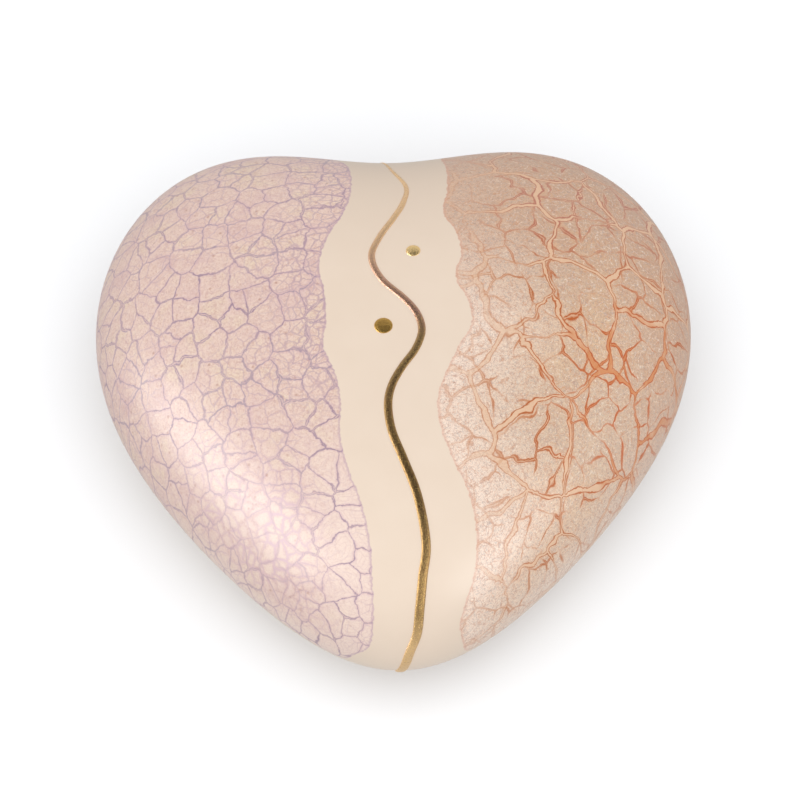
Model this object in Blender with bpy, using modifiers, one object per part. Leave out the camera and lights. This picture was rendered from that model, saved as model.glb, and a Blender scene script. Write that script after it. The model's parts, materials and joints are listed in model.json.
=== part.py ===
"""Heart-shaped ceramic music box: a glazed shell around an 18-note wind-up movement.

The heart stands on three felt pads. A recess in its underside holds a base plate in a
rubber seal. The movement stands on that plate, inside the heart, with its winding key and
its stop tab underneath. X is the heart's width, -Y its pointed end, +Z up, and the origin
is on the table under the middle of the heart.
"""

import math

import bmesh
import bpy
import numpy as np
from mathutils import Matrix, Vector

MM = 0.001
GAP = 0.3 * MM

# The heart's outline, a short Fourier series in the turn round it, and its cross-section.
HEART_WIDTH = 150 * MM
HEART_LENGTH = 141 * MM
HEART_MIDDLE_Y = -12 * MM
CROWN_HEIGHT = 35.2 * MM
BELLY_DEPTH = 34 * MM
SECTION_POWER = 2.6
OUTLINE_X = (1.0, -0.080, -0.062)
OUTLINE_Y = (1.0, -0.217, -0.035, -0.030, 0.009)
WALL = 5 * MM

# Heights above the table.
PAD_THICKNESS = 1.2 * MM
FOOT_Z = PAD_THICKNESS + GAP
EQUATOR_Z = FOOT_Z + 27 * MM
FLOOR_Z = FOOT_Z + 5 * MM
RECESS_TOP_Z = 17 * MM
LEDGE_TOP_Z = 22 * MM
SEAL_Z = (11.1 * MM, RECESS_TOP_Z - GAP)
PLATE_Z = (12.4 * MM, 15.4 * MM)

# Round the recess.
RECESS_Y = -4 * MM
RECESS_RADIUS = 37 * MM
MOUTH_RADIUS = 31 * MM
SEAL_RADIUS = RECESS_RADIUS - GAP
SEAL_LIP_RADIUS = 33.5 * MM
PLATE_RADIUS = 35.4 * MM

# The gilded line and dots: low beads that stand a hair proud of the glaze.
BEAD_CLEARANCE = 0.3 * MM
BEAD_HEIGHT = 0.5 * MM
BEAD_WIDTHS = (1.5 * MM, 2.6 * MM)
BEAD_STATIONS = 58
BEAD_ROUTE = (
    # Degrees over the heart, from its back edge to under its tip, and distance from the middle.
    (8, -2.5 * MM), (17, 0.2 * MM), (24, 3.7 * MM), (29, 2.8 * MM), (33, 0.6 * MM), (39, -3.2 * MM),
    (45, -5.2 * MM), (52, -3.0 * MM), (59, 2.2 * MM), (65, 5.3 * MM), (72, 6.4 * MM), (80, 4.8 * MM),
    (88, 1.5 * MM), (96, -1.0 * MM), (104, -2.0 * MM), (114, -1.3 * MM), (124, 1.3 * MM),
    (135, 4.4 * MM), (147, 6.1 * MM), (155, 5.2 * MM), (163, 4.4 * MM), (170, 3.7 * MM),
    (178, 1.7 * MM), (196, -1.0 * MM),
)
# Degrees over the heart, distance from the middle, radius.
DOTS = {
    "gold_dot_left": (70, -2.7 * MM, 2.2 * MM),
    "gold_dot_right": (43.3, 4.9 * MM, 1.75 * MM),
}
# The bead runs over the tip, so the heart sits half its height back to keep the box centred.
HEART_Y = (BEAD_CLEARANCE + BEAD_HEIGHT) / 2

# The movement's own frame: its bedplate rests just above the base plate.
MOVEMENT = Vector((0, RECESS_Y, PLATE_Z[1] + GAP))
BEDPLATE = (48 * MM, 38 * MM, 2 * MM)
DECK = BEDPLATE[2] + GAP
BARREL_AXIS = (-12.6 * MM, 1 * MM)
DRUM_Y = 1 * MM
SHAFT_Z = 9.5 * MM
DRUM_X = (0.4 * MM, 15.6 * MM)
DRUM_RADIUS = 6 * MM
PIN_RADIUS = 6.6 * MM
NOTES = 18

# Gear pairs, as module and teeth: crown and pinion, wheel and leaves, worm wheel and worm.
CROWN_MODULE = 0.58 * MM
CROWN_TEETH = 36
PINION_TEETH = 12
WHEEL_MODULE = 0.35 * MM
WHEEL_TEETH = 36
LEAVES = 9
WORM_WHEEL_TEETH = 30
WORM_PITCH = 1.1 * MM
WORM_RADIUS = 1.55 * MM
WORM_DEPTH = 0.3 * MM
WORM_WHEEL_RADIUS = WORM_WHEEL_TEETH * WORM_PITCH / math.tau
WHEEL_X = (16.0 * MM, 17.4 * MM)
WORM_WHEEL_X = (18.2 * MM, 19.4 * MM)
GOVERNOR_Y = DRUM_Y + WHEEL_MODULE * (WHEEL_TEETH + LEAVES) / 2
WORM_AXIS = (sum(WORM_WHEEL_X) / 2, GOVERNOR_Y + WORM_WHEEL_RADIUS + WORM_RADIUS + 0.05 * MM)
FAN_Z = (15.6 * MM, 19.6 * MM)
FAN_RADIUS = 3.4 * MM
STOP_AXIS = (10 * MM, 16.5 * MM)
BRACKET_X = (21.4 * MM, 22.4 * MM)
MOVEMENT_SCREWS = ((-20 * MM, -15 * MM), (20 * MM, -15 * MM), (-20 * MM, 16 * MM))
BRACKET_SCREWS = ((19.8 * MM, -4.4 * MM), (15.6 * MM, 17.0 * MM))

FACING_X = (math.radians(90), 0, math.radians(90))

for old in list(bpy.data.objects):
    bpy.data.objects.remove(old, do_unlink=True)

parts = bpy.data.collections.new("heart_music_box")
cutters = bpy.data.collections.new("cutters")
for group in (parts, cutters):
    bpy.context.scene.collection.children.link(group)


def material(name, colour, roughness, metallic=0.0):
    made = bpy.data.materials.new(name)
    made.use_nodes = True
    shader = made.node_tree.nodes["Principled BSDF"]
    shader.inputs["Base Color"].default_value = (*colour, 1)
    shader.inputs["Roughness"].default_value = roughness
    shader.inputs["Metallic"].default_value = metallic
    return made


GLAZE = material("crackle_glaze", (0.80, 0.66, 0.56), 0.28)
LUSTRE = material("gold_lustre", (0.72, 0.50, 0.22), 0.25, 1.0)
FELT = material("wool_felt", (0.78, 0.70, 0.60), 0.95)
RUBBER = material("black_rubber", (0.03, 0.03, 0.03), 0.75)
PLASTIC = material("moulded_plastic", (0.06, 0.05, 0.05), 0.5)
ZINC = material("cast_zinc", (0.50, 0.51, 0.53), 0.5, 1.0)
STEEL = material("spring_steel", (0.42, 0.43, 0.45), 0.3, 1.0)
NICKEL = material("nickel_plate", (0.66, 0.64, 0.60), 0.2, 1.0)
BRASS = material("brass", (0.72, 0.53, 0.24), 0.3, 1.0)


def add(name, data, finish=None, place=(0, 0, 0), turn=(0, 0, 0)):
    """An object in the parts collection, or among the cutters where it has no finish."""
    made = bpy.data.objects.new(name, data)
    made.location = place
    made.rotation_euler = turn
    if finish is None:
        made.hide_render = True
        made.display_type = "WIRE"
        cutters.objects.link(made)
    else:
        data.materials.append(finish)
        parts.objects.link(made)
    return made


def shade(mesh):
    mesh.shade_smooth()
    mesh.set_sharp_from_angle(angle=math.radians(35))


def mesh_of(name, bm):
    bmesh.ops.recalc_face_normals(bm, faces=bm.faces)
    mesh = bpy.data.meshes.new(name)
    bm.to_mesh(mesh)
    bm.free()
    shade(mesh)
    return mesh


def as_mesh(curve):
    """Replace a curve object by a welded mesh object of the same name and place."""
    bpy.context.view_layer.update()
    graph = bpy.context.evaluated_depsgraph_get()
    mesh = bpy.data.meshes.new_from_object(curve.evaluated_get(graph))
    bm = bmesh.new()
    bm.from_mesh(mesh)
    bmesh.ops.remove_doubles(bm, verts=bm.verts, dist=0.001 * MM)
    bm.to_mesh(mesh)
    bm.free()
    name, matrix, group = curve.name, curve.matrix_world.copy(), curve.users_collection[0]
    bpy.data.objects.remove(curve, do_unlink=True)
    made = bpy.data.objects.new(name, mesh)
    made.matrix_world = matrix
    if group == cutters:
        made.hide_render = True
        made.display_type = "WIRE"
    group.objects.link(made)
    return made


def combine(target, other, operation):
    """Join another shape to a part, or cut it out of the part."""
    modifier = target.modifiers.new(operation.lower(), "BOOLEAN")
    modifier.operation = operation
    modifier.solver = "EXACT"
    modifier.object = other


def box(name, low, high, finish=None):
    bm = bmesh.new()
    bmesh.ops.create_cube(bm, size=1)
    size = Vector(high) - Vector(low)
    bmesh.ops.scale(bm, vec=size, verts=bm.verts)
    middle = (Vector(high) + Vector(low)) / 2
    return add(name, mesh_of(name, bm), finish, middle)


def rod(name, radius, length, finish=None, place=(0, 0, 0), turn=(0, 0, 0), sides=20):
    """A round bar that runs from its origin along its own Z."""
    bm = bmesh.new()
    lift = Matrix.Translation((0, 0, length / 2))
    bmesh.ops.create_cone(
        bm, cap_ends=True, segments=sides, radius1=radius, radius2=radius, depth=length, matrix=lift
    )
    return add(name, mesh_of(name, bm), finish, place, turn)


def turned(name, profile, finish=None, place=(0, 0, 0), turn=(0, 0, 0), steps=24, ring=False):
    """Spin a profile of (radius, height), from the top down its outer side, about Z."""
    mesh = bpy.data.meshes.new(name)
    edges = [(i, i + 1) for i in range(len(profile) - 1)]
    if ring:
        edges.append((len(profile) - 1, 0))
    mesh.from_pydata([(radius, 0, height) for radius, height in profile], edges, [])
    made = add(name, mesh, finish, place, turn)
    screw = made.modifiers.new("turn", "SCREW")
    screw.steps = steps
    screw.render_steps = steps
    screw.use_merge_vertices = True
    screw.merge_threshold = 0.00001
    screw.use_smooth_shade = True
    return made


def plate(name, loops, thickness, finish=None, place=(0, 0, 0), turn=(0, 0, 0)):
    """Extrude flat loops of points along Z from the origin; the loops after the first are holes."""
    curve = bpy.data.curves.new(name, "CURVE")
    curve.dimensions = "2D"
    curve.fill_mode = "BOTH"
    curve.extrude = thickness / 2
    for points in loops:
        spline = curve.splines.new("POLY")
        spline.points.add(len(points) - 1)
        for point, (x, y) in zip(spline.points, points):
            point.co = (x, y, 0, 1)
        spline.use_cyclic_u = True
    made = add(name, curve, finish, place, turn)
    made.location = Vector(place) + made.rotation_euler.to_matrix() @ Vector((0, 0, thickness / 2))
    return made


def wire(name, points, radius, finish=None, place=(0, 0, 0), sides=2):
    curve = bpy.data.curves.new(name, "CURVE")
    curve.dimensions = "3D"
    curve.bevel_depth = radius
    curve.bevel_resolution = sides
    curve.use_fill_caps = True
    spline = curve.splines.new("POLY")
    spline.points.add(len(points) - 1)
    for point, co in zip(spline.points, points):
        point.co = (*co, 1)
    return add(name, curve, finish, place)


def circle(radius, sides=16, centre=(0, 0)):
    turns = [math.tau * i / sides for i in range(sides)]
    return [(centre[0] + radius * math.cos(a), centre[1] + radius * math.sin(a)) for a in turns]


def rectangle(low, high):
    return [(low[0], low[1]), (high[0], low[1]), (high[0], high[1]), (low[0], high[1])]


def rounded_rectangle(width, height, radius, steps=4):
    points = []
    for corner, (sx, sy) in enumerate(((1, 1), (-1, 1), (-1, -1), (1, -1))):
        for i in range(steps + 1):
            a = math.radians(90) * (corner + i / steps)
            x = sx * (width / 2 - radius) + radius * math.cos(a)
            y = sy * (height / 2 - radius) + radius * math.sin(a)
            points.append((x, y))
    return points


def in_movement(x, y, z):
    return MOVEMENT + Vector((x, y, z))


# --- The heart -----------------------------------------------------------------------------


def series(terms, turn, wave):
    return sum(term * wave(turn * (i + 1)) for i, term in enumerate(terms))


SAMPLED_TURNS = np.linspace(0, math.tau, 721)[:-1]
RAW_X = series(OUTLINE_X, SAMPLED_TURNS, np.sin)
RAW_Y = series(OUTLINE_Y, SAMPLED_TURNS, np.cos)
SCALE_X = HEART_WIDTH / 2 / RAW_X.max()
SCALE_Y = HEART_LENGTH / (RAW_Y.max() - RAW_Y.min())
SHIFT_Y = (RAW_Y.max() + RAW_Y.min()) / 2


def outline(turn):
    """The heart's widest outline, from the cleft at the back round by +X."""
    x = series(OUTLINE_X, turn, np.sin) * SCALE_X
    y = (series(OUTLINE_Y, turn, np.cos) - SHIFT_Y) * SCALE_Y
    return x, y


OUTER_X, OUTER_Y = outline(SAMPLED_TURNS)
BEARINGS = np.unwrap(np.arctan2(OUTER_X, OUTER_Y - HEART_MIDDLE_Y))
REACHES = np.hypot(OUTER_X, OUTER_Y - HEART_MIDDLE_Y)


def fullness(x, y, z):
    """Below 1 inside the heart and 1 on its surface, measured from its equator's middle."""
    reach = np.interp(math.atan2(x, y) % math.tau, BEARINGS, REACHES, period=math.tau)
    height = CROWN_HEIGHT if z > 0 else BELLY_DEPTH
    return (math.hypot(x, y) / reach) ** SECTION_POWER + (z / height) ** 2


def on_heart(degrees, x):
    """The surface point and normal at an angle over the heart, in the plane at x."""
    a = math.radians(degrees)
    near, far = 0.0, HEART_LENGTH
    for _ in range(40):
        middle = (near + far) / 2
        if fullness(x, middle * math.cos(a), middle * math.sin(a)) < 1:
            near = middle
        else:
            far = middle
    point = Vector((x, near * math.cos(a), near * math.sin(a)))
    step = 0.5 * MM
    slopes = [
        fullness(*(point + Vector(d) * step)) - fullness(*(point - Vector(d) * step))
        for d in ((1, 0, 0), (0, 1, 0), (0, 0, 1))
    ]
    place = point + Vector((0, HEART_Y + HEART_MIDDLE_Y, EQUATOR_Z))
    return place, Vector(slopes).normalized()


def heart_solid(name, rings, inset, floor, finish=None):
    """A heart made from a unit sphere, smaller all round by the inset and cut flat at the floor."""
    bm = bmesh.new()
    bmesh.ops.create_uvsphere(bm, u_segments=rings * 2, v_segments=rings, radius=1)
    shrink = 1 - inset / (HEART_WIDTH / 2)
    for vertex in bm.verts:
        x, y = outline(math.atan2(vertex.co.x, vertex.co.y))
        rise = max(-1, min(1, vertex.co.z))
        reach = math.cos(math.asin(rise)) ** (2 / SECTION_POWER) * shrink
        height = (CROWN_HEIGHT if rise > 0 else BELLY_DEPTH) - inset
        back = HEART_Y + HEART_MIDDLE_Y + reach * (y - HEART_MIDDLE_Y)
        vertex.co = (reach * x, back, EQUATOR_Z + height * rise)
    everything = bm.verts[:] + bm.edges[:] + bm.faces[:]
    cut = bmesh.ops.bisect_plane(
        bm, geom=everything, dist=0.0001 * MM, plane_co=(0, 0, floor), plane_no=(0, 0, -1), clear_outer=True
    )
    rim = [item for item in cut["geom_cut"] if isinstance(item, bmesh.types.BMEdge)]
    bmesh.ops.contextual_create(bm, geom=rim)
    return add(name, mesh_of(name, bm), finish)


def heart_shell():
    shell = heart_solid("heart_shell", 22, 0, FOOT_Z, GLAZE)
    cavity = heart_solid("shell_cavity", 14, WALL, FLOOR_Z)
    middle = (0, RECESS_Y, 0)
    cup = rod("recess_cup", RECESS_RADIUS + WALL, LEDGE_TOP_Z - FLOOR_Z + MM, None, middle, sides=48)
    cup.location.z = FLOOR_Z - MM
    low = FOOT_Z - MM
    high = LEDGE_TOP_Z + MM
    profile = [(0, high), (MOUTH_RADIUS, high), (MOUTH_RADIUS, RECESS_TOP_Z), (RECESS_RADIUS, RECESS_TOP_Z)]
    profile += [(RECESS_RADIUS, low), (0, low)]
    recess = turned("recess", profile, None, middle, steps=48)
    combine(shell, cavity, "DIFFERENCE")
    combine(shell, cup, "UNION")
    combine(shell, recess, "DIFFERENCE")


def eased(route, share):
    """A smooth curve through the route's points, as degrees over the heart and a distance."""
    position = share * (len(route) - 1)
    i = min(int(position), len(route) - 2)
    t = position - i
    ends = [route[max(0, min(len(route) - 1, i + k))] for k in (-1, 0, 1, 2)]
    result = []
    for a, b, c, d in zip(*ends):
        result.append(b + 0.5 * t * (c - a + t * (2 * a - 5 * b + 4 * c - d + t * (3 * (b - c) + d - a))))
    return result


def gold_line():
    """A low half-round bead along the route; its sections follow the surface, so it is lofted."""
    shares = [i / (BEAD_STATIONS - 1) for i in range(BEAD_STATIONS)]
    spots = [on_heart(*eased(BEAD_ROUTE, share)) for share in shares]
    bm = bmesh.new()
    rings = []
    for i, (centre, normal) in enumerate(spots):
        ahead = spots[min(i + 1, len(spots) - 1)][0] - spots[max(i - 1, 0)][0]
        side = ahead.cross(normal).normalized()
        half = (BEAD_WIDTHS[0] + (BEAD_WIDTHS[1] - BEAD_WIDTHS[0]) * shares[i]) / 2
        ring = []
        for corner in range(5):
            a = math.pi * corner / 4
            rise = BEAD_CLEARANCE + BEAD_HEIGHT * math.sin(a)
            ring.append(bm.verts.new(centre + side * half * math.cos(a) + normal * rise))
        rings.append(ring)
    for one, two in zip(rings, rings[1:]):
        for j in range(5):
            k = (j + 1) % 5
            bm.faces.new((one[j], one[k], two[k], two[j]))
    bm.faces.new(rings[0])
    bm.faces.new(reversed(rings[-1]))
    add("gold_line", mesh_of("gold_line", bm), LUSTRE)


def gold_dots():
    for name, (degrees, x, radius) in DOTS.items():
        point, normal = on_heart(degrees, x)
        profile = [(0, 0.6 * MM), (radius * 0.55, 0.5 * MM), (radius * 0.9, 0.25 * MM), (radius, 0), (0, 0)]
        turn = normal.to_track_quat("Z", "Y").to_euler()
        turned(name, profile, LUSTRE, point + normal * BEAD_CLEARANCE, turn)


def foot_pads():
    spots = ((0, -45.6 * MM), (38 * MM, 22 * MM), (-38 * MM, 22 * MM))
    for i, (x, y) in enumerate(spots):
        rod(f"foot_pad_{i + 1}", 4 * MM, PAD_THICKNESS, FELT, (x, y + HEART_Y, 0), sides=20)


# --- The base ------------------------------------------------------------------------------


def base_seal():
    outer = SEAL_RADIUS
    web = PLATE_RADIUS + GAP
    low, high = SEAL_Z
    lip = 1 * MM
    profile = [(SEAL_LIP_RADIUS, high), (outer, high), (outer, low), (SEAL_LIP_RADIUS, low)]
    profile += [(SEAL_LIP_RADIUS, low + lip), (web, low + lip), (web, high - lip), (SEAL_LIP_RADIUS, high - lip)]
    turned("base_seal", profile, RUBBER, (0, RECESS_Y, 0), steps=40, ring=True)


def screw(name, place, head, shank, up=True, finish=STEEL):
    """A cheese-head screw, its head's underside at its origin and its shank above or below."""
    (head_radius, head_height), (radius, length) = head, shank
    edge = 0.2 * MM
    profile = [(0, length), (radius - edge, length), (radius, length - edge), (radius, 0), (head_radius, 0)]
    profile += [(head_radius, edge - head_height), (head_radius - edge, -head_height), (0, -head_height)]
    turn = (0, 0, 0) if up else (math.pi, 0, 0)
    made = turned(name, profile, finish, place, turn, steps=16)
    direction = -1 if up else 1
    half = Vector((head_radius + edge, 0.25 * MM, 0.4 * MM))
    middle = Vector(place) + Vector((0, 0, direction * head_height))
    combine(made, box(f"{name}_slot", middle - half, middle + half), "DIFFERENCE")


def base_plate():
    loops = [circle(PLATE_RADIUS, 40), circle(2.2 * MM, 16, BARREL_AXIS), circle(1.4 * MM, 12, STOP_AXIS)]
    loops += [circle(1.7 * MM, 12, spot) for spot in MOVEMENT_SCREWS]
    for degrees in (60, 90, 120, 240, 270, 300):
        a = math.radians(degrees)
        loops.append(circle(2.2 * MM, 12, (29 * MM * math.cos(a), 29 * MM * math.sin(a))))
    plate("base_plate", loops, PLATE_Z[1] - PLATE_Z[0], PLASTIC, (0, RECESS_Y, PLATE_Z[0]))
    for i, (x, y) in enumerate(MOVEMENT_SCREWS):
        place = (x, RECESS_Y + y, PLATE_Z[0] - GAP)
        screw(f"movement_screw_{i + 1}", place, (2.6 * MM, 1.4 * MM), (1.3 * MM, 5.0 * MM))


def winding_key():
    """A flat butterfly key: two pierced wings on a hub with a socket for the arbor."""
    reach, top, low = 13 * MM, 8.6 * MM, 1.6 * MM
    wing = (top - low) / 2
    middle = (top + low) / 2
    loop = []
    for side in (1, -1):
        for i in range(9):
            a = math.radians(-90 + 180 * i / 8)
            x = side * (reach - wing + wing * math.cos(a))
            loop.append((x, middle + side * wing * math.sin(a)))
        waist = side * 3.4 * MM
        loop.append((waist, middle + side * 2.1 * MM))
    holes = [circle(1.5 * MM, 12, (side * (reach - wing), middle)) for side in (1, -1)]
    x, y = BARREL_AXIS[0], BARREL_AXIS[1] + RECESS_Y
    thickness = 1.6 * MM
    turn = (math.radians(90), 0, 0)
    blade = plate("winding_key", [loop, *holes], thickness, NICKEL, (x, y + thickness / 2, 0), turn)
    key = as_mesh(blade)
    shade(key.data)
    bore, collar, bore_low, collar_low, collar_top = 1.95 * MM, 3 * MM, 7.5 * MM, 3.2 * MM, 11.6 * MM
    above = collar_top + MM
    core = [(0, collar_top), (collar, collar_top), (collar, collar_low), (0, collar_low)]
    socket = [(0, above), (bore, above), (bore, bore_low), (0, bore_low)]
    combine(key, turned("key_hub", core, None, (x, y, 0), steps=20), "UNION")
    combine(key, turned("key_socket", socket, None, (x, y, 0), steps=20), "DIFFERENCE")


# --- The movement --------------------------------------------------------------------------


def bedplate():
    loops = [rounded_rectangle(BEDPLATE[0], BEDPLATE[1], 3 * MM), circle(2.0 * MM, 16, BARREL_AXIS)]
    loops += [circle(1.6 * MM, 12, spot) for spot in MOVEMENT_SCREWS]
    loops.append(circle(1.4 * MM, 12, STOP_AXIS))
    loops += [circle(1.2 * MM, 12, spot) for spot in BRACKET_SCREWS]
    plate("bedplate", loops, BEDPLATE[2], ZINC, MOVEMENT)


def barrel():
    x, y = BARREL_AXIS
    arbor_foot = 7.8 * MM - MOVEMENT.z
    rod("winding_arbor", 1.6 * MM, 19 * MM - arbor_foot, STEEL, in_movement(x, y, arbor_foot))
    clip = [(1.9 * MM, 18.4 * MM), (3.4 * MM, 18.4 * MM), (3.4 * MM, 17.8 * MM), (1.9 * MM, 17.8 * MM)]
    turned("barrel_clip", clip, STEEL, in_movement(x, y, 0), steps=20, ring=True)
    cup = [(2.0 * MM, 17.5 * MM), (9.0 * MM, 17.5 * MM), (9.3 * MM, 17.2 * MM), (9.3 * MM, 5.7 * MM)]
    cup += [(8.7 * MM, 5.7 * MM), (8.7 * MM, 16.7 * MM), (2.0 * MM, 16.7 * MM)]
    turned("spring_barrel", cup, BRASS, in_movement(x, y, 0), steps=40, ring=True)
    mainspring(x, y)
    clutch_spring(x, y)
    crown_gear(x, y)


def mainspring(x, y):
    """A strip wound in a flat spiral, from the arbor's hook to the barrel's wall."""
    turns, inner, outer, strip = 4.5, 2.3 * MM, 8.2 * MM, 0.35 * MM
    steps = 72
    sides = []
    for offset in (strip / 2, -strip / 2):
        side = []
        for i in range(steps + 1):
            a = math.tau * turns * i / steps
            r = inner + (outer - inner) * i / steps + offset
            side.append((r * math.cos(a), r * math.sin(a)))
        sides.append(side)
    loop = sides[0] + sides[1][::-1]
    plate("mainspring", [loop], 9.6 * MM, STEEL, in_movement(x, y, 6.4 * MM))


def clutch_spring(x, y):
    """Two turns of wire that grip the arbor one way, with a tang to the bedplate's edge."""
    per_turn, turns, pitch, radius = 12, 2, 0.64 * MM, 2.25 * MM
    points = []
    for i in range(per_turn * turns + 1):
        a = math.tau * i / per_turn
        points.append((radius * math.cos(a), radius * math.sin(a), pitch * i / per_turn))
    points.insert(0, (radius + 0.3 * MM, -4 * MM, 0))
    wire("clutch_spring", points, 0.22 * MM, STEEL, in_movement(x, y, DECK + 0.25 * MM))


def crown_gear(x, y):
    """A flat disc whose rim carries teeth that stand up, to drive a pinion lying over it."""
    inner, outer, face, root, tip = 9.6 * MM, 11.3 * MM, 4.3 * MM, 5.4 * MM, 6.6 * MM
    bore = 2.0 * MM
    profile = ((bore, face), (outer, face), (outer, tip), (inner, tip), (inner, root), (bore, root))
    bm = bmesh.new()
    loop = [bm.verts.new((radius, 0, height)) for radius, height in profile]
    edges = [bm.edges.new((loop[i], loop[(i + 1) % 6])) for i in range(6)]
    steps = CROWN_TEETH * 4
    bmesh.ops.spin(
        bm, geom=loop + edges, cent=(0, 0, 0), axis=(0, 0, 1), angle=math.tau, steps=steps, use_merge=True
    )
    pitch = math.tau / CROWN_TEETH
    land, gap = 0.24, 0.28
    shares = (-land / 2, land / 2, 0.5 - gap / 2, 0.5 + gap / 2)
    for vertex in bm.verts:
        radius = math.hypot(vertex.co.x, vertex.co.y)
        if vertex.co.z < tip - 0.1 * MM:
            continue
        tooth, step = divmod(round(math.atan2(vertex.co.y, vertex.co.x) / math.tau * steps), 4)
        a = (tooth + 0.5 + shares[step]) * pitch
        vertex.co = (radius * math.cos(a), radius * math.sin(a), tip if step < 2 else root)
    add("crown_gear", mesh_of("crown_gear", bm), BRASS, in_movement(x, y, 0))


def gear_loop(teeth, root, tip, root_share, tip_share, phase=0.0):
    """A gear's outline: straight-sided teeth, wide at the root and narrow at the tip."""
    pitch = math.tau / teeth
    points = []
    for tooth in range(teeth):
        middle = phase + tooth * pitch
        for radius, share in ((root, -root_share), (tip, -tip_share), (tip, tip_share), (root, root_share)):
            a = middle + share * pitch / 2
            points.append((radius * math.cos(a), radius * math.sin(a)))
    return points


def drum():
    place = in_movement(DRUM_X[0], DRUM_Y, SHAFT_Z)
    length = DRUM_X[1] - DRUM_X[0]
    tube = [(1.3 * MM, length), (DRUM_RADIUS, length), (DRUM_RADIUS, 0), (1.3 * MM, 0)]
    made = turned("pinned_cylinder", tube, BRASS, place, FACING_X, steps=32, ring=True)
    bm = bmesh.new()
    half = 0.17 * MM
    golden = math.tau * 0.381966
    tracks = NOTES * 3
    for i in range(tracks):
        along = length * (i % NOTES + 0.5) / NOTES
        size = Matrix.Diagonal((PIN_RADIUS - DRUM_RADIUS + MM, half * 2, half * 2, 1))
        out = Matrix.Translation(((PIN_RADIUS + DRUM_RADIUS - MM) / 2, 0, along))
        bmesh.ops.create_cube(bm, size=1, matrix=Matrix.Rotation(golden * (i + 0.5), 4, "Z") @ out @ size)
    combine(made, add("pins", mesh_of("pins", bm), None, place, FACING_X), "UNION")

    arbor_x = -3.0 * MM
    rod("cylinder_arbor", 1 * MM, 22.6 * MM - arbor_x, STEEL, in_movement(arbor_x, DRUM_Y, SHAFT_Z), FACING_X)
    pitch_radius = CROWN_MODULE * PINION_TEETH / 2
    root, tip = pitch_radius - 0.75 * MM, pitch_radius + 0.45 * MM
    teeth = gear_loop(PINION_TEETH, root, tip, 0.5, 0.14, math.radians(-90))
    spot = in_movement(-2.9 * MM, DRUM_Y, SHAFT_Z)
    plate("cylinder_pinion", [teeth, circle(1.3 * MM, 16)], 1.4 * MM, BRASS, spot, FACING_X)
    pitch_radius = WHEEL_MODULE * WHEEL_TEETH / 2
    teeth = gear_loop(WHEEL_TEETH, pitch_radius - 0.42 * MM, pitch_radius + 0.28 * MM, 0.5, 0.16)
    spot = in_movement(WHEEL_X[0], DRUM_Y, SHAFT_Z)
    plate("cylinder_wheel", [teeth, circle(1.3 * MM, 16)], WHEEL_X[1] - WHEEL_X[0], BRASS, spot, FACING_X)


def posts():
    """Two bearing posts on the deck, one for the cylinder and one for the governor's arbor."""
    loops = [rectangle((-1.6 * MM, DECK), (3.6 * MM, 12.6 * MM)), circle(1.3 * MM, 16, (DRUM_Y, SHAFT_Z))]
    plate("cylinder_bearing", loops, 1.0 * MM, ZINC, in_movement(-0.95 * MM, 0, 0), FACING_X)
    hole = circle(0.85 * MM, 12, (GOVERNOR_Y, SHAFT_Z))
    loops = [rectangle((7.7 * MM, DECK), (10.6 * MM, 11.6 * MM)), hole]
    plate("governor_post", loops, 0.8 * MM, ZINC, in_movement(14.0 * MM, 0, 0), FACING_X)


def comb():
    """A steel comb: eighteen teeth from one block, screwed to a rail level with the cylinder."""
    pitch = (DRUM_X[1] - DRUM_X[0]) / NOTES
    tip_y = DRUM_Y - PIN_RADIUS - GAP
    root_y, back_y = -12.4 * MM, -18.4 * MM
    slot = 0.26 * MM
    left, right = DRUM_X[0] - 1 * MM, DRUM_X[1] + 1 * MM
    loop = [(left, back_y), (right, back_y), (right, root_y)]
    for note in reversed(range(NOTES)):
        low = DRUM_X[0] + note * pitch + slot / 2
        high = low + pitch - slot
        loop += [(high, root_y), (high, tip_y), (low, tip_y), (low, root_y)]
    loop.append((left, root_y))
    middle = (left + right) / 2
    spots = [(middle - 4.6 * MM, -15.6 * MM), (middle + 4.6 * MM, -15.6 * MM)]
    holes = [circle(1.2 * MM, 12, spot) for spot in spots]
    low, thickness = SHAFT_Z - 0.45 * MM, 0.9 * MM
    plate("comb", [loop, *holes], thickness, STEEL, in_movement(0, 0, low))
    rail_top = low - GAP
    block = rectangle((left, back_y), (right, root_y - 0.8 * MM))
    plate("comb_rail", [block, *holes], rail_top - DECK, ZINC, in_movement(0, 0, DECK))
    for i, (x, y) in enumerate(spots):
        place = in_movement(x, y, low + thickness + GAP)
        screw(f"comb_screw_{i + 1}", place, (1.9 * MM, 1.1 * MM), (0.9 * MM, 5 * MM), up=False)


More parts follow.
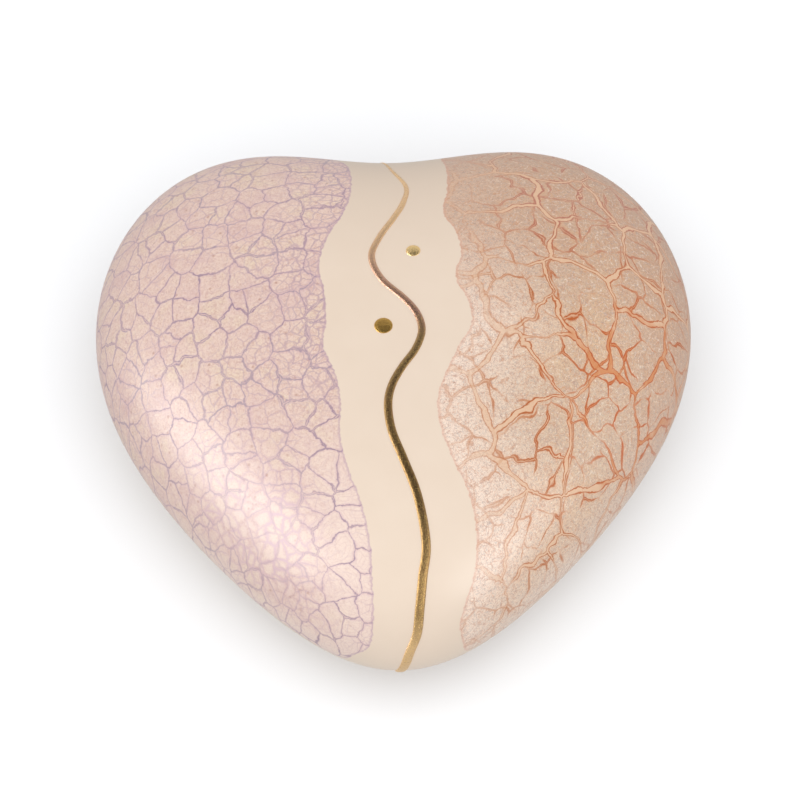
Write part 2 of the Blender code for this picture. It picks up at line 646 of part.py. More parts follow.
def governor():
    arbor_x = 13.6 * MM
    spot = in_movement(arbor_x, GOVERNOR_Y, SHAFT_Z)
    made = rod("governor_arbor", 0.55 * MM, 22.6 * MM - arbor_x, STEEL, spot, FACING_X, sides=14)
    pitch_radius = WHEEL_MODULE * LEAVES / 2
    phase = math.pi + math.pi / LEAVES
    teeth = gear_loop(LEAVES, pitch_radius - 0.42 * MM, pitch_radius + 0.26 * MM, 0.5, 0.13, phase)
    spot = in_movement(WHEEL_X[0] - 0.1 * MM, GOVERNOR_Y, SHAFT_Z)
    leaves = plate("arbor_leaves", [teeth], WHEEL_X[1] - WHEEL_X[0] + 0.2 * MM, None, spot, FACING_X)
    combine(made, as_mesh(leaves), "UNION")

    root, tip = WORM_WHEEL_RADIUS - 0.62 * MM, WORM_WHEEL_RADIUS + 0.18 * MM
    teeth = gear_loop(WORM_WHEEL_TEETH, root, tip, 0.44, 0.16)
    spot = in_movement(WORM_WHEEL_X[0], GOVERNOR_Y, SHAFT_Z)
    thickness = WORM_WHEEL_X[1] - WORM_WHEEL_X[0]
    plate("worm_wheel", [teeth, circle(0.85 * MM, 14)], thickness, BRASS, spot, FACING_X)
    worm()
    fan()
    bracket()


def worm():
    """A right-handed thread on a spindle; a gap of the thread faces the wheel's level tooth."""
    x, y = WORM_AXIS
    low, high, foot, top = 6 * MM, 13.2 * MM, 2.7 * MM, 20.8 * MM
    core, spindle = WORM_RADIUS - WORM_DEPTH, 0.45 * MM
    profile = [(0, top), (spindle, top), (spindle, high), (core, high), (core, low), (spindle, low)]
    profile += [(spindle, foot), (0, foot)]
    made = turned("worm", profile, STEEL, in_movement(x, y, 0), steps=20)
    per_turn, turns = 12, 5.5
    start = SHAFT_Z - WORM_PITCH * turns / 2
    facing = math.radians(-90)
    points = []
    for i in range(int(per_turn * turns) + 1):
        a = math.tau * (i / per_turn - turns / 2 + 0.5) + facing
        height = start + WORM_PITCH * i / per_turn
        points.append((WORM_RADIUS * math.cos(a), WORM_RADIUS * math.sin(a), height))
    thread = wire("thread", points, WORM_DEPTH, None, in_movement(x, y, 0), sides=1)
    combine(made, as_mesh(thread), "UNION")


def fan():
    """Two thin wings on a sleeve; their drag in the air sets the tempo."""
    x, y = WORM_AXIS
    low, high = FAN_Z
    half = 0.18 * MM
    wings = box("fan", (x - half, y - FAN_RADIUS, low), (x + half, y + FAN_RADIUS, high), NICKEL)
    wings.location = in_movement(x, y, (low + high) / 2)
    tall = (high - low) / 2
    sleeve = rod("fan_sleeve", 1.2 * MM, 2 * tall, None, in_movement(x, y, low), sides=16)
    bore = rod("fan_bore", 0.75 * MM, 2 * tall + 2 * MM, None, in_movement(x, y, low - MM), sides=16)
    combine(wings, sleeve, "UNION")
    combine(wings, bore, "DIFFERENCE")


def bracket():
    """The governor's frame: a side plate with two bearings, a foot and an arm over the fan."""
    low_x, high_x = BRACKET_X
    thick = high_x - low_x
    foot, arm = DECK + 1.2 * MM, (20.0 * MM, 21.0 * MM)
    x, y = WORM_AXIS
    shape = [(-6.4 * MM, DECK), (18.6 * MM, DECK), (18.6 * MM, 14.4 * MM), (11.6 * MM, 14.4 * MM)]
    shape += [(11.6 * MM, arm[1]), (5.0 * MM, arm[1]), (5.0 * MM, 13.4 * MM), (-2.0 * MM, 13.4 * MM)]
    shape += [(-2.0 * MM, foot), (-6.4 * MM, foot)]
    holes = [circle(1.3 * MM, 16, (DRUM_Y, SHAFT_Z)), circle(0.85 * MM, 12, (GOVERNOR_Y, SHAFT_Z))]
    side = plate("governor_bracket", [shape, *holes], thick, NICKEL, in_movement(low_x, 0, 0), FACING_X)
    made = as_mesh(side)
    shade(made.data)
    inside = high_x - GAP
    pivot = circle(0.75 * MM, 12, WORM_AXIS)
    front_foot = rectangle((17.8 * MM, -6.4 * MM), (inside, -2.0 * MM))
    rear_foot = rectangle((13.6 * MM, 14.6 * MM), (inside, 18.6 * MM))
    top_arm = [(x - 1.8 * MM, y + 1.8 * MM), (x - 1.8 * MM, y - 1.6 * MM), (17.6 * MM, 6.0 * MM)]
    top_arm += [(inside, 6.0 * MM), (inside, 11.4 * MM), (x + 1.8 * MM, y - 1.6 * MM), (x + 1.8 * MM, y + 1.8 * MM)]
    hole = [circle(1.2 * MM, 12, spot) for spot in BRACKET_SCREWS]
    pieces = (
        ("front_foot", [front_foot, hole[0]], DECK, foot),
        ("rear_foot", [rear_foot, hole[1], pivot], DECK, foot),
        ("top_arm", [top_arm, pivot], *arm),
    )
    for name, loops, low, high in pieces:
        piece = plate(name, loops, high - low, None, in_movement(0, 0, low))
        combine(made, as_mesh(piece), "UNION")
    for i, (screw_x, screw_y) in enumerate(BRACKET_SCREWS):
        place = in_movement(screw_x, screw_y, foot + GAP)
        screw(f"bracket_screw_{i + 1}", place, (1.8 * MM, 1.0 * MM), (0.9 * MM, 2.6 * MM), up=False)


def stop_lever():
    """A spindle with an arm that reaches between the fan's wings, and a finger tab under the plate."""
    x, y = STOP_AXIS
    foot = 8.4 * MM - MOVEMENT.z
    low, high = 17.2 * MM, 18.2 * MM
    place = in_movement(x, y, 0)
    shaft = rod("stop_arm", 1.0 * MM, high - foot, STEEL, in_movement(x, y, foot), sides=16)
    angle = math.radians(25)
    reach, half = 6.6 * MM, 0.5 * MM
    arm = box("arm", (0, -half, low), (reach, half, high))
    middle = Matrix.Rotation(angle, 4, "Z") @ Vector((reach / 2, 0, (low + high) / 2))
    arm.location = place + middle
    arm.rotation_euler = (0, 0, angle)
    combine(shaft, arm, "UNION")

    lean = math.radians(75)
    under = (x, RECESS_Y + y, 0)
    hub = [(1.35 * MM, 11.6 * MM), (2.6 * MM, 11.6 * MM), (2.6 * MM, 8.4 * MM), (1.35 * MM, 8.4 * MM)]
    tab = turned("stop_tab", hub, PLASTIC, under, (0, 0, lean), steps=20, ring=True)
    parts_of_tab = (
        ("tab_arm", (1.9 * MM, -1.6 * MM, 8.4 * MM), (12 * MM, 1.6 * MM, 10.2 * MM)),
        ("tab_finger", (10.2 * MM, -3.4 * MM, 3.2 * MM), (12 * MM, 3.4 * MM, 10.2 * MM)),
    )
    for name, low, high in parts_of_tab:
        piece = box(name, low, high)
        middle = (Vector(low) + Vector(high)) / 2
        piece.location = Vector(under) + Matrix.Rotation(lean, 4, "Z") @ middle
        piece.rotation_euler = (0, 0, lean)
        combine(tab, piece, "UNION")


heart_shell()
gold_line()
gold_dots()
foot_pads()
base_seal()
base_plate()
winding_key()
bedplate()
barrel()
drum()
posts()
comb()
governor()
stop_lever()
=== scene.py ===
# %% [markdown]
# # A heart-shaped ceramic music box
#
# The real object is a slip-cast ceramic heart. Its top carries two fields of reactive glaze, a
# lilac one with a fine crackle and a sandy one with orange veins, and a plain cream band runs
# between them from the cleft to the tip. A line and two dots of gold lustre lie on the band.
# The movement inside is already modelled in the frame that is loaded here. This lesson makes
# the shell, the gold and the pieces underneath, and gives every piece its finish.

# %% Load the frame
import json
import math

import bmesh
import bpy
from mathutils import Matrix, Vector


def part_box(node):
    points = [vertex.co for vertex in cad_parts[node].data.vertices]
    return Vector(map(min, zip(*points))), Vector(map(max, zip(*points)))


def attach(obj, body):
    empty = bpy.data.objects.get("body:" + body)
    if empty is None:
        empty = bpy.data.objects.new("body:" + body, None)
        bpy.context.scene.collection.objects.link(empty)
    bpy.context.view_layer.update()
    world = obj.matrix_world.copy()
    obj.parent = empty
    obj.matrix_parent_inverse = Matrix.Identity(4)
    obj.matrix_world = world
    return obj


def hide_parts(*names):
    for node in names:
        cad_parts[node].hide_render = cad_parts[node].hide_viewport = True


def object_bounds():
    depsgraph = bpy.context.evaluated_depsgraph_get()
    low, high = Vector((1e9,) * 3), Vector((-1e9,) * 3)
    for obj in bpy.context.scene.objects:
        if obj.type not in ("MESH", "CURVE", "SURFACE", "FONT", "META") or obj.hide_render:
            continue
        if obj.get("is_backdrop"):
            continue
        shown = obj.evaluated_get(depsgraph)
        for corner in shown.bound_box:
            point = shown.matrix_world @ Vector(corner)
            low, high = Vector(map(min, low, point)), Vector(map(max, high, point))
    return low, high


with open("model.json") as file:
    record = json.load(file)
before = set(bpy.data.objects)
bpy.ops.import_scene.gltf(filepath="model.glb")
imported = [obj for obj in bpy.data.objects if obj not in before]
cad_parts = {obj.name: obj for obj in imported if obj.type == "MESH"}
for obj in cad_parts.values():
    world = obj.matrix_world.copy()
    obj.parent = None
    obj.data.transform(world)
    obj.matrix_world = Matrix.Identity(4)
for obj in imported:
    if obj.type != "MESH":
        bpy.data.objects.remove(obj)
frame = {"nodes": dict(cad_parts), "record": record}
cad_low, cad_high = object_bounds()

MM = 0.001
cad_size = [round(side / MM, 1) for side in cad_high - cad_low]
print("frame:", len(frame["nodes"]), "nodes,", cad_size, "mm")

# %% [markdown]
# ## The camera
#
# The camera looks down at the heart from its pointed end, 60 degrees above the table. A short
# lens close by would make the near tip bulge, and a long one keeps the heart's proportions.
# The camera is placed by an angle and a distance, so that both can be read straight from the
# numbers, and a small shift centres the heart in the frame.

# %% Camera
EQUATOR_Z = 28.5 * MM
HEART_Y = 0.4 * MM
VIEW_AZIMUTH, VIEW_ELEVATION, VIEW_ROLL = math.radians(-1.0), math.radians(60), math.radians(-0.2)
VIEW_DISTANCE = 0.675
LENS_LENGTH, LENS_SHIFT = 122.2, (0.0061, 0.0024)
NEAREST_SEEN, FARTHEST_SEEN = 0.01, 20

back = Vector(
    (
        math.sin(VIEW_AZIMUTH) * math.cos(VIEW_ELEVATION),
        -math.cos(VIEW_AZIMUTH) * math.cos(VIEW_ELEVATION),
        math.sin(VIEW_ELEVATION),
    )
)
lens = bpy.data.cameras.new("camera")
lens.lens = LENS_LENGTH
lens.shift_x, lens.shift_y = LENS_SHIFT
lens.clip_start, lens.clip_end = NEAREST_SEEN, FARTHEST_SEEN
camera = bpy.data.objects.new("camera", lens)
camera.location = Vector((0, HEART_Y, EQUATOR_Z)) + back * VIEW_DISTANCE
turn = (-back).to_track_quat("-Z", "Y") @ Matrix.Rotation(VIEW_ROLL, 3, "Z").to_quaternion()
camera.rotation_euler = turn.to_euler()
bpy.context.scene.collection.objects.link(camera)
bpy.context.scene.camera = camera
print("camera:", round(VIEW_DISTANCE, 3), "m away,", lens.lens, "mm lens")

# %% [markdown]
# ## Colours and nodes
#
# Colours are written the way a paint chart gives them, as sRGB hex values. Shaders work in
# linear light, so one function turns the first into the second. A second function adds a
# shader node, gives it its settings, and sets or links its sockets, because a procedural
# material is nothing but many such steps.


# %% Helpers for materials
def linear(code):
    """A linear RGBA colour from an sRGB hex value such as "#F0DCC8"."""
    channels = [int(code[i : i + 2], 16) / 255 for i in (1, 3, 5)]
    return (*[c / 12.92 if c <= 0.04045 else ((c + 0.055) / 1.055) ** 2.4 for c in channels], 1)


def add(tree, kind, sockets, output=0, **settings):
    """Add a node, set or link its sockets, and return one of its outputs."""
    made = tree.nodes.new("ShaderNode" + kind)
    for name, value in settings.items():
        setattr(made, name, value)
    for key, value in sockets.items():
        if isinstance(value, bpy.types.NodeSocket):
            tree.links.new(value, made.inputs[key])
        else:
            made.inputs[key].default_value = value
    return made.outputs[output]


def start_material(name, **constants):
    """A new material with its constant sockets set, its tree, shader and Object coordinates in mm."""
    made = bpy.data.materials.new(name)
    made.use_nodes = True
    shader = made.node_tree.nodes["Principled BSDF"]
    for key, value in constants.items():
        shader.inputs[key.replace("_", " ").title().replace("Ior", "IOR")].default_value = value
    tree = made.node_tree
    place = add(tree, "TexCoord", {}, "Object")
    place = add(tree, "VectorMath", {0: place, "Scale": 1000.0}, operation="SCALE")
    return made, tree, shader, place


def finish_material(tree, shader, colour, roughness=None, height=None, depth=0.1 * MM):
    """Link the finished colour, roughness and relief to the shader."""
    tree.links.new(colour, shader.inputs["Base Color"])
    if roughness is not None:
        tree.links.new(roughness, shader.inputs["Roughness"])
    if height is not None:
        bump = add(tree, "Bump", {"Height": height, "Distance": depth, "Strength": 1.0})
        tree.links.new(bump, shader.inputs["Normal"])


def set_stops(ramp, stops):
    """Give a colour ramp its stops, as positions and hex values."""
    elements = ramp.color_ramp.elements
    while len(elements) < len(stops):
        elements.new(1.0)
    for element, (position, code) in zip(elements, stops):
        element.position = position
        element.color = linear(code)


print("helpers ready")

# %% [markdown]
# ## The heart's shape
#
# A heart like this is slip-cast from a carved model, so no profile can be turned to make it.
# What describes it well is its outline, seen from above, and one rounded cross-section. The
# outline is a short Fourier series: a circle, pushed in at the cleft and drawn out at the tip.
# Every vertex of a sphere is then moved by that rule, so the surface is smooth and its
# poles stay closed. Below, the belly is pressed flat where the heart stands, with a soft edge.

# %% Shape of the heart
HEART_WIDTH, HEART_LENGTH = 149.8 * MM, 140.8 * MM
HEART_MIDDLE_Y = -12 * MM
CROWN_HEIGHT, BELLY_DEPTH = 35.2 * MM, 34 * MM
SECTION_POWER = 2.6
OUTLINE_X = (1.0, -0.080, -0.062)
OUTLINE_Y = (1.0, -0.217, -0.035, -0.030, 0.009)
FOOT_Z = 1.5 * MM
FOOT_SOFTNESS = 0.45 * MM
SAMPLES = 720


def series(terms, angle, wave):
    return sum(term * wave(angle * (i + 1)) for i, term in enumerate(terms))


raw = [math.tau * i / SAMPLES for i in range(SAMPLES)]
raw_x = [series(OUTLINE_X, a, math.sin) for a in raw]
raw_y = [series(OUTLINE_Y, a, math.cos) for a in raw]
scale_x = HEART_WIDTH / 2 / max(raw_x)
scale_y = HEART_LENGTH / (max(raw_y) - min(raw_y))
shift_y = (max(raw_y) + min(raw_y)) / 2


def outline(angle):
    """A point of the widest outline, from the cleft at the back round by +X."""
    x = series(OUTLINE_X, angle, math.sin) * scale_x
    y = (series(OUTLINE_Y, angle, math.cos) - shift_y) * scale_y
    return x, y


rim = [outline(a) for a in raw]
reaches = {}
for rim_x, rim_y in rim:
    bearing = math.atan2(rim_x, rim_y - HEART_MIDDLE_Y) % math.tau
    reaches[round(bearing / math.tau * SAMPLES) % SAMPLES] = math.hypot(rim_x, rim_y - HEART_MIDDLE_Y)
known = sorted(reaches)


def reach_of(bearing):
    """How far the outline is from the heart's middle, in one direction."""
    place = bearing / math.tau * SAMPLES
    after = next((i for i, k in enumerate(known) if k > place), len(known))
    low, high = known[after - 1], known[after % len(known)]
    gap = (high - low) % SAMPLES
    share = ((place - low) % SAMPLES) / gap
    return reaches[low] * (1 - share) + reaches[high] * share


def fullness(point):
    """Below 1 inside the heart and 1 on its surface, measured from its middle."""
    reach = reach_of(math.atan2(point.x, point.y) % math.tau)
    height = CROWN_HEIGHT if point.z > 0 else BELLY_DEPTH
    return (math.hypot(point.x, point.y) / reach) ** SECTION_POWER + (point.z / height) ** 2


middle_of_heart = Vector((0, HEART_Y + HEART_MIDDLE_Y, EQUATOR_Z))


def on_heart(degrees, x):
    """The surface point and its normal at an angle over the heart, in the plane at x."""
    a = math.radians(degrees)
    near, far = 0.0, HEART_LENGTH
    for _ in range(30):
        half = (near + far) / 2
        inside = fullness(Vector((x, half * math.cos(a), half * math.sin(a)))) < 1
        near, far = (half, far) if inside else (near, half)
    point = Vector((x, near * math.cos(a), near * math.sin(a)))
    steps = [Vector(d) * 0.8 * MM for d in ((1, 0, 0), (0, 1, 0), (0, 0, 1))]
    normal = Vector([fullness(point + step) - fullness(point - step) for step in steps]).normalized()
    return point + middle_of_heart, normal


print("heart:", round(HEART_WIDTH / MM, 1), "x", round(HEART_LENGTH / MM, 1), "mm")

# %% [markdown]
# ## Building a piece
#
# Every piece is built as a bmesh, Blender's editable mesh, and handed to one function that
# makes it an object and tells the frame which body it rides on. Three helpers make the forms
# that the pieces share: a profile turned about an upright axis, a drill's rod, and a block
# with rounded edges. A fourth joins forms or cuts one from another. It uses exact Booleans,
# because a hole in a turned disc is one step with them, and many by moving vertices.


# %% Helpers for meshes
def new_piece(name, bm, finish, body="base", replaces=(), sharp=40):
    """A mesh object from a bmesh, shaded smooth, in its finish, riding on its body."""
    mesh = bpy.data.meshes.new(name)
    bm.to_mesh(mesh)
    bm.free()
    mesh.shade_smooth()
    mesh.set_sharp_from_angle(angle=math.radians(sharp))
    mesh.materials.append(finish)
    made = bpy.data.objects.new(name, mesh)
    bpy.context.scene.collection.objects.link(made)
    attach(made, body)
    if replaces:
        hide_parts(*replaces)
    print(name, len(mesh.polygons), "faces")
    return made


def spin_profile(profile, place=(0, 0, 0), steps=96, ring=False):
    """A bmesh turned about Z from (radius, height) points, whose ends meet on the axis or each other."""
    bm = bmesh.new()
    corners = [bm.verts.new((radius, 0, height)) for radius, height in profile]
    edges = [bm.edges.new(pair) for pair in zip(corners, corners[1:])]
    if ring:
        edges.append(bm.edges.new((corners[-1], corners[0])))
    bmesh.ops.spin(
        bm, geom=corners + edges, cent=(0, 0, 0), axis=(0, 0, 1), angle=math.tau, steps=steps, use_merge=True
    )
    bmesh.ops.remove_doubles(bm, verts=bm.verts, dist=0.001 * MM)
    bmesh.ops.recalc_face_normals(bm, faces=bm.faces)
    bmesh.ops.translate(bm, vec=place, verts=bm.verts)
    return bm


def carved(form, cuts):
    """A form after each of the others has been joined to it, or taken from it."""
    made = []
    for name, bm in (("form", form), *cuts):
        mesh = bpy.data.meshes.new(name)
        bm.to_mesh(mesh)
        bm.free()
        made.append(bpy.data.objects.new(name, mesh))
        bpy.context.scene.collection.objects.link(made[-1])
    for (operation, _), other in zip(cuts, made[1:]):
        step = made[0].modifiers.new(operation, "BOOLEAN")
        step.operation, step.object, step.solver = operation, other, "EXACT"
    evaluated = made[0].evaluated_get(bpy.context.evaluated_depsgraph_get())
    result = bmesh.new()
    result.from_mesh(bpy.data.meshes.new_from_object(evaluated))
    bmesh.ops.remove_doubles(result, verts=result.verts, dist=0.002 * MM)
    for each in made:
        bpy.data.objects.remove(each)
    return result


def drill(radius, place, low, high):
    """A straight round rod, to cut a hole with."""
    bm = bmesh.new()
    middle = Matrix.Translation((place[0], place[1], (low + high) / 2))
    bmesh.ops.create_cone(
        bm, cap_ends=True, segments=40, radius1=radius, radius2=radius, depth=high - low, matrix=middle
    )
    return bm


def bar(low, high, edge=0.0, turn=Matrix()):
    """A block between two corners, with its edges rounded, then turned into place."""
    low, high = Vector(low), Vector(high)
    bm = bmesh.new()
    stretch = Matrix.Translation((low + high) / 2) @ Matrix.Diagonal((*(high - low), 1))
    bmesh.ops.create_cube(bm, size=1, matrix=stretch)
    if edge:
        bmesh.ops.bevel(
            bm, geom=bm.edges[:], offset=edge, offset_type="OFFSET", affect="EDGES", segments=3, profile=0.5,
            material=-1,
        )
    bmesh.ops.transform(bm, matrix=turn, verts=bm.verts)
    return bm


print("mesh helpers ready")

# %% [markdown]
# ## The ceramic shell
#
# The shell is about 5 mm thick, with a round recess below for the base plate and a mouth for
# the movement. It is made as the potter's mould makes it: the outer form first, then the
# hollow and the recess are taken out of it. Booleans do that in one step each. Their cutters
# are turned shapes whose corners are already rounded, so the cut edges look glazed over.

# %% Shell mesh
WALL = 5 * MM
FLOOR_Z = FOOT_Z + WALL
RECESS_Y, RECESS_RADIUS, MOUTH_RADIUS = -4 * MM, 37 * MM, 31 * MM
RECESS_TOP_Z, LEDGE_TOP_Z = 17 * MM, 22 * MM
EDGE = 1.2 * MM


def heart_bmesh(around, inset, floor, softness):
    """The heart from a sphere, smaller all round by the inset and pressed flat at the floor."""
    bm = bmesh.new()
    bmesh.ops.create_uvsphere(bm, u_segments=around, v_segments=around // 2, radius=1)
    shrink = 1 - inset / (HEART_WIDTH / 2)
    for vertex in bm.verts:
        x, y = outline(math.atan2(vertex.co.x, vertex.co.y))
        rise = max(-1, min(1, vertex.co.z))
        reach = math.cos(math.asin(rise)) ** (2 / SECTION_POWER) * shrink
        height = (CROWN_HEIGHT if rise > 0 else BELLY_DEPTH) - inset
        z = EQUATOR_Z + height * rise
        pressed = (z - floor) / softness
        if pressed < 30:
            z = floor + softness * math.log1p(math.exp(pressed))
        y = HEART_Y + HEART_MIDDLE_Y + reach * (y - HEART_MIDDLE_Y)
        vertex.co = (reach * x, y, z)
    return bm


def rounded(radius, z, edge, outward, steps=5):
    """The points of a rounded corner at a cylinder's rim, flaring outward or turning in."""
    points = []
    for i in range(steps + 1):
        a = math.radians(90) * i / steps
        points.append((radius + outward * edge * (1 - math.cos(a)), z - edge * math.sin(a)))
    return points


low_end, high_end = FOOT_Z - 2 * MM, LEDGE_TOP_Z + MM
recess_profile = [(0, high_end), (MOUTH_RADIUS, high_end)]
recess_profile += rounded(MOUTH_RADIUS, RECESS_TOP_Z + EDGE, EDGE, 1)
recess_profile += [(RECESS_RADIUS, RECESS_TOP_Z)]
recess_profile += rounded(RECESS_RADIUS, FOOT_Z + EDGE, EDGE, 1)
recess_profile += [(RECESS_RADIUS + EDGE, low_end), (0, low_end)]
cup_profile = [(0, LEDGE_TOP_Z), (RECESS_RADIUS + WALL, LEDGE_TOP_Z)]
cup_profile += [(RECESS_RADIUS + WALL, FLOOR_Z - MM), (0, FLOOR_Z - MM)]
shell_bmesh = carved(
    heart_bmesh(192, 0, FOOT_Z, FOOT_SOFTNESS),
    (
        ("DIFFERENCE", heart_bmesh(64, WALL, FLOOR_Z, 0.2 * MM)),
        ("UNION", spin_profile(cup_profile, (0, RECESS_Y, 0))),
        ("DIFFERENCE", spin_profile(recess_profile, (0, RECESS_Y, 0))),
    ),
)
print("shell:", len(shell_bmesh.faces), "faces")

# %% [markdown]
# ## Where the glazes lie
#
# The glazes meet in two wavy edges that run over the heart like rivers on a map. Each edge is
# a curve: for every angle over the heart, from the back to the tip, it gives the distance from
# the middle. A Float Curve node holds such a curve inside the material, so the edge stays
# sharp at any zoom, which painting it on the vertices wouldn't give.

# %% Edges of the glaze fields
ANGLES = (-20.0, 220.0)
SPREAD = 40.0
LEFT_EDGE = (
    (-20, -19), (5, -17.5), (11, -14.0), (17, -10.5), (24, -9.8), (32, -11.8), (39, -15.8),
    (47, -17.8), (56, -16.7), (66, -16.2), (77, -17.0), (83, -15.9), (90, -14.2), (102, -13.1),
    (116, -13.2), (126, -11.7), (136, -8.8), (146, -6.8), (156, -6.4), (166, -6.3), (174, -7.2),
    (183, -12), (220, -16),
)
RIGHT_EDGE = (
    (-20, 16), (5, 13.2), (12, 12.9), (19, 14.0), (26, 13.8), (32, 12.6), (38, 15.4),
    (44, 16.5), (51, 14.9), (60, 17.6), (68, 18.3), (78, 15.2), (90, 11.9), (101, 9.7),
    (113, 10.1), (124, 12.6), (134, 15.9), (142, 17.4), (151, 17.8), (158, 17.0), (164, 15.1),
    (171, 13.8), (178, 14.5), (220, 20),
)


def set_curve(socket, points):
    """Bend a Float Curve node through points of (degrees over the heart, mm from the middle)."""
    curve = socket.node.mapping.curves[0]
    low, high = ANGLES
    knots = [((degrees - low) / (high - low), 0.5 + mm / (2 * SPREAD)) for degrees, mm in points]
    curve.points[0].location = knots[0]
    curve.points[1].location = knots[-1]
    for knot in knots[1:-1]:
        curve.points.new(*knot)
    socket.node.mapping.update()


print("field edges:", len(LEFT_EDGE), "and", len(RIGHT_EDGE), "points")

# %% [markdown]
# ## The glaze
#
# Reactive glazes crawl and craze as they cool. The lilac one breaks into cells 5 to 8 mm
# across, with darker glaze pooled in the cracks; the sandy one draws apart into wide, branching
# veins with dark rims and pale middles. Cells of a Voronoi pattern break in the same way, so the
# distance to a cell's edge gives the cracks, and noise bends, thins and fades them.
#
# The next cells each add one thing to the colour: where the fields are, the patterns that both
# share, the lilac field, the veined field, and then the cream band and the bare clay.

# %% Where a point lies
# The fields end 7 mm below the widest line of the heart, give or take 3 mm.
FIELD_LIMIT, LIMIT_SWAY = 7.0, 6.0


def over_heart(tree, place):
    """How far over the heart a point is, from 0 at the back to 1, and its x, y and z from the middle."""
    middle = add(tree, "VectorMath", {0: place, 1: -middle_of_heart / MM}, operation="ADD")
    x, y, z = add(tree, "SeparateXYZ", {0: middle}).node.outputs
    forward = add(tree, "Math", {0: y, 1: -1.0}, operation="MULTIPLY")
    angle = add(tree, "Math", {0: forward, 1: z}, operation="ARCTAN2")
    degrees = add(tree, "Math", {0: angle, 1: 180 / math.pi, 2: 90.0}, operation="MULTIPLY_ADD")
    over = add(tree, "MapRange", {0: degrees, 1: ANGLES[0], 2: ANGLES[1]})
    return over, x, y, z


def field_masks(tree, place, over, x, z):
    """How far inside the left and the right field a point is, in mm."""
    wobble = add(tree, "TexNoise", {"Vector": place, "Scale": 0.9, "Detail": 2.0})
    wobble = add(tree, "Math", {0: wobble, 1: 0.5}, operation="SUBTRACT")
    wide = add(tree, "TexNoise", {"Vector": place, "Scale": 0.07, "Detail": 1.0})
    sway = {0: wide, 1: LIMIT_SWAY, 2: FIELD_LIMIT - LIMIT_SWAY / 2}
    lowest = add(tree, "Math", sway, operation="MULTIPLY_ADD")
    above = add(tree, "Math", {0: z, 1: lowest}, operation="ADD")
    insides = []
    for points, side in ((LEFT_EDGE, -1.0), (RIGHT_EDGE, 1.0)):
        edge = add(tree, "FloatCurve", {"Value": over})
        set_curve(edge, points)
        edge = add(tree, "MapRange", {0: edge, 3: -SPREAD, 4: SPREAD})
        inside = add(tree, "Math", {0: x, 1: edge}, operation="SUBTRACT")
        inside = add(tree, "Math", {0: inside, 1: side, 2: wobble}, operation="MULTIPLY_ADD")
        insides.append(add(tree, "Math", {0: inside, 1: above, 2: 5.0}, operation="SMOOTH_MIN"))
    return insides


print("fields end", FIELD_LIMIT, "mm below the widest line")

# %% Patterns that both glazes share
# A drop of 1 mm counts as 0.85 mm of way along the surface, which curves round and saves some.
SIDE_SHARE = 0.85


def warped(tree, place, scale, detail, reach):
    """The place in mm, pushed about by noise, so that a pattern on it wanders."""
    bend = add(tree, "TexNoise", {"Vector": place, "Scale": scale, "Detail": detail}, "Color")
    bend = add(tree, "VectorMath", {0: bend, 1: (0.5, 0.5, 0.5)}, operation="SUBTRACT")
    bend = add(tree, "VectorMath", {0: bend, "Scale": reach}, operation="SCALE")
    return add(tree, "VectorMath", {0: place, 1: bend}, operation="ADD")


def laid_flat(tree, place):
    """Flat coordinates that follow the surface: the way out from the crown, and down its sides."""
    middle = add(tree, "VectorMath", {0: place, 1: -middle_of_heart / MM}, operation="ADD")
    flat = add(tree, "VectorMath", {0: middle, 1: (1, 1, 0)}, operation="MULTIPLY")
    out = add(tree, "VectorMath", {0: flat}, "Value", operation="LENGTH")
    out = add(tree, "Math", {0: out, 1: 1.0}, operation="MAXIMUM")
    height = add(tree, "SeparateXYZ", {0: middle}, "Z")
    down = add(tree, "Math", {0: CROWN_HEIGHT / MM, 1: height}, operation="SUBTRACT")
    down = add(tree, "Math", {0: down, 1: SIDE_SHARE}, operation="MULTIPLY")
    longer = add(tree, "Math", {0: down, 1: out}, operation="DIVIDE")
    longer = add(tree, "Math", {0: longer, 1: 1.0}, operation="ADD")
    return add(tree, "VectorMath", {0: flat, "Scale": longer}, operation="SCALE")


def to_edge(tree, place, size):
    """How far a point is from the edge of its cell, in mm."""
    cell = {"Vector": place, "Scale": 1 / size, "Randomness": 1.0}
    settings = {"feature": "DISTANCE_TO_EDGE", "voronoi_dimensions": "2D"}
    gap = add(tree, "TexVoronoi", cell, "Distance", **settings)
    return add(tree, "Math", {0: gap, 1: size}, operation="MULTIPLY")


def tinted(tree, amount, colour, stain):
    """The colour, stained by an amount from 0 to 1 with a hex value or with another colour."""
    stain = linear(stain) if isinstance(stain, str) else stain
    return add(tree, "Mix", {"Factor": amount, 6: colour, 7: stain}, 2, data_type="RGBA")


def hairline(tree, place, scale, half_width, strength):
    """Wandering lines: where a noise passes through its middle value."""
    wave = add(tree, "TexNoise", {"Vector": place, "Scale": scale, "Detail": 3.0, "Distortion": 1.0})
    wave = add(tree, "Math", {0: wave, 1: 0.5}, operation="SUBTRACT")
    wave = add(tree, "Math", {0: wave}, operation="ABSOLUTE")
    return add(tree, "MapRange", {0: wave, 1: half_width, 2: half_width * 0.2, 4: strength})


print("glaze patterns ready")

# %% Lilac glaze
# The widths in mm of a crackle cell, of the cells within cells, and of the crowded ones.
CRACKLE_CELL, MIDDLE_CELL, FINE_CELL = 7.4, 4.3, 2.6


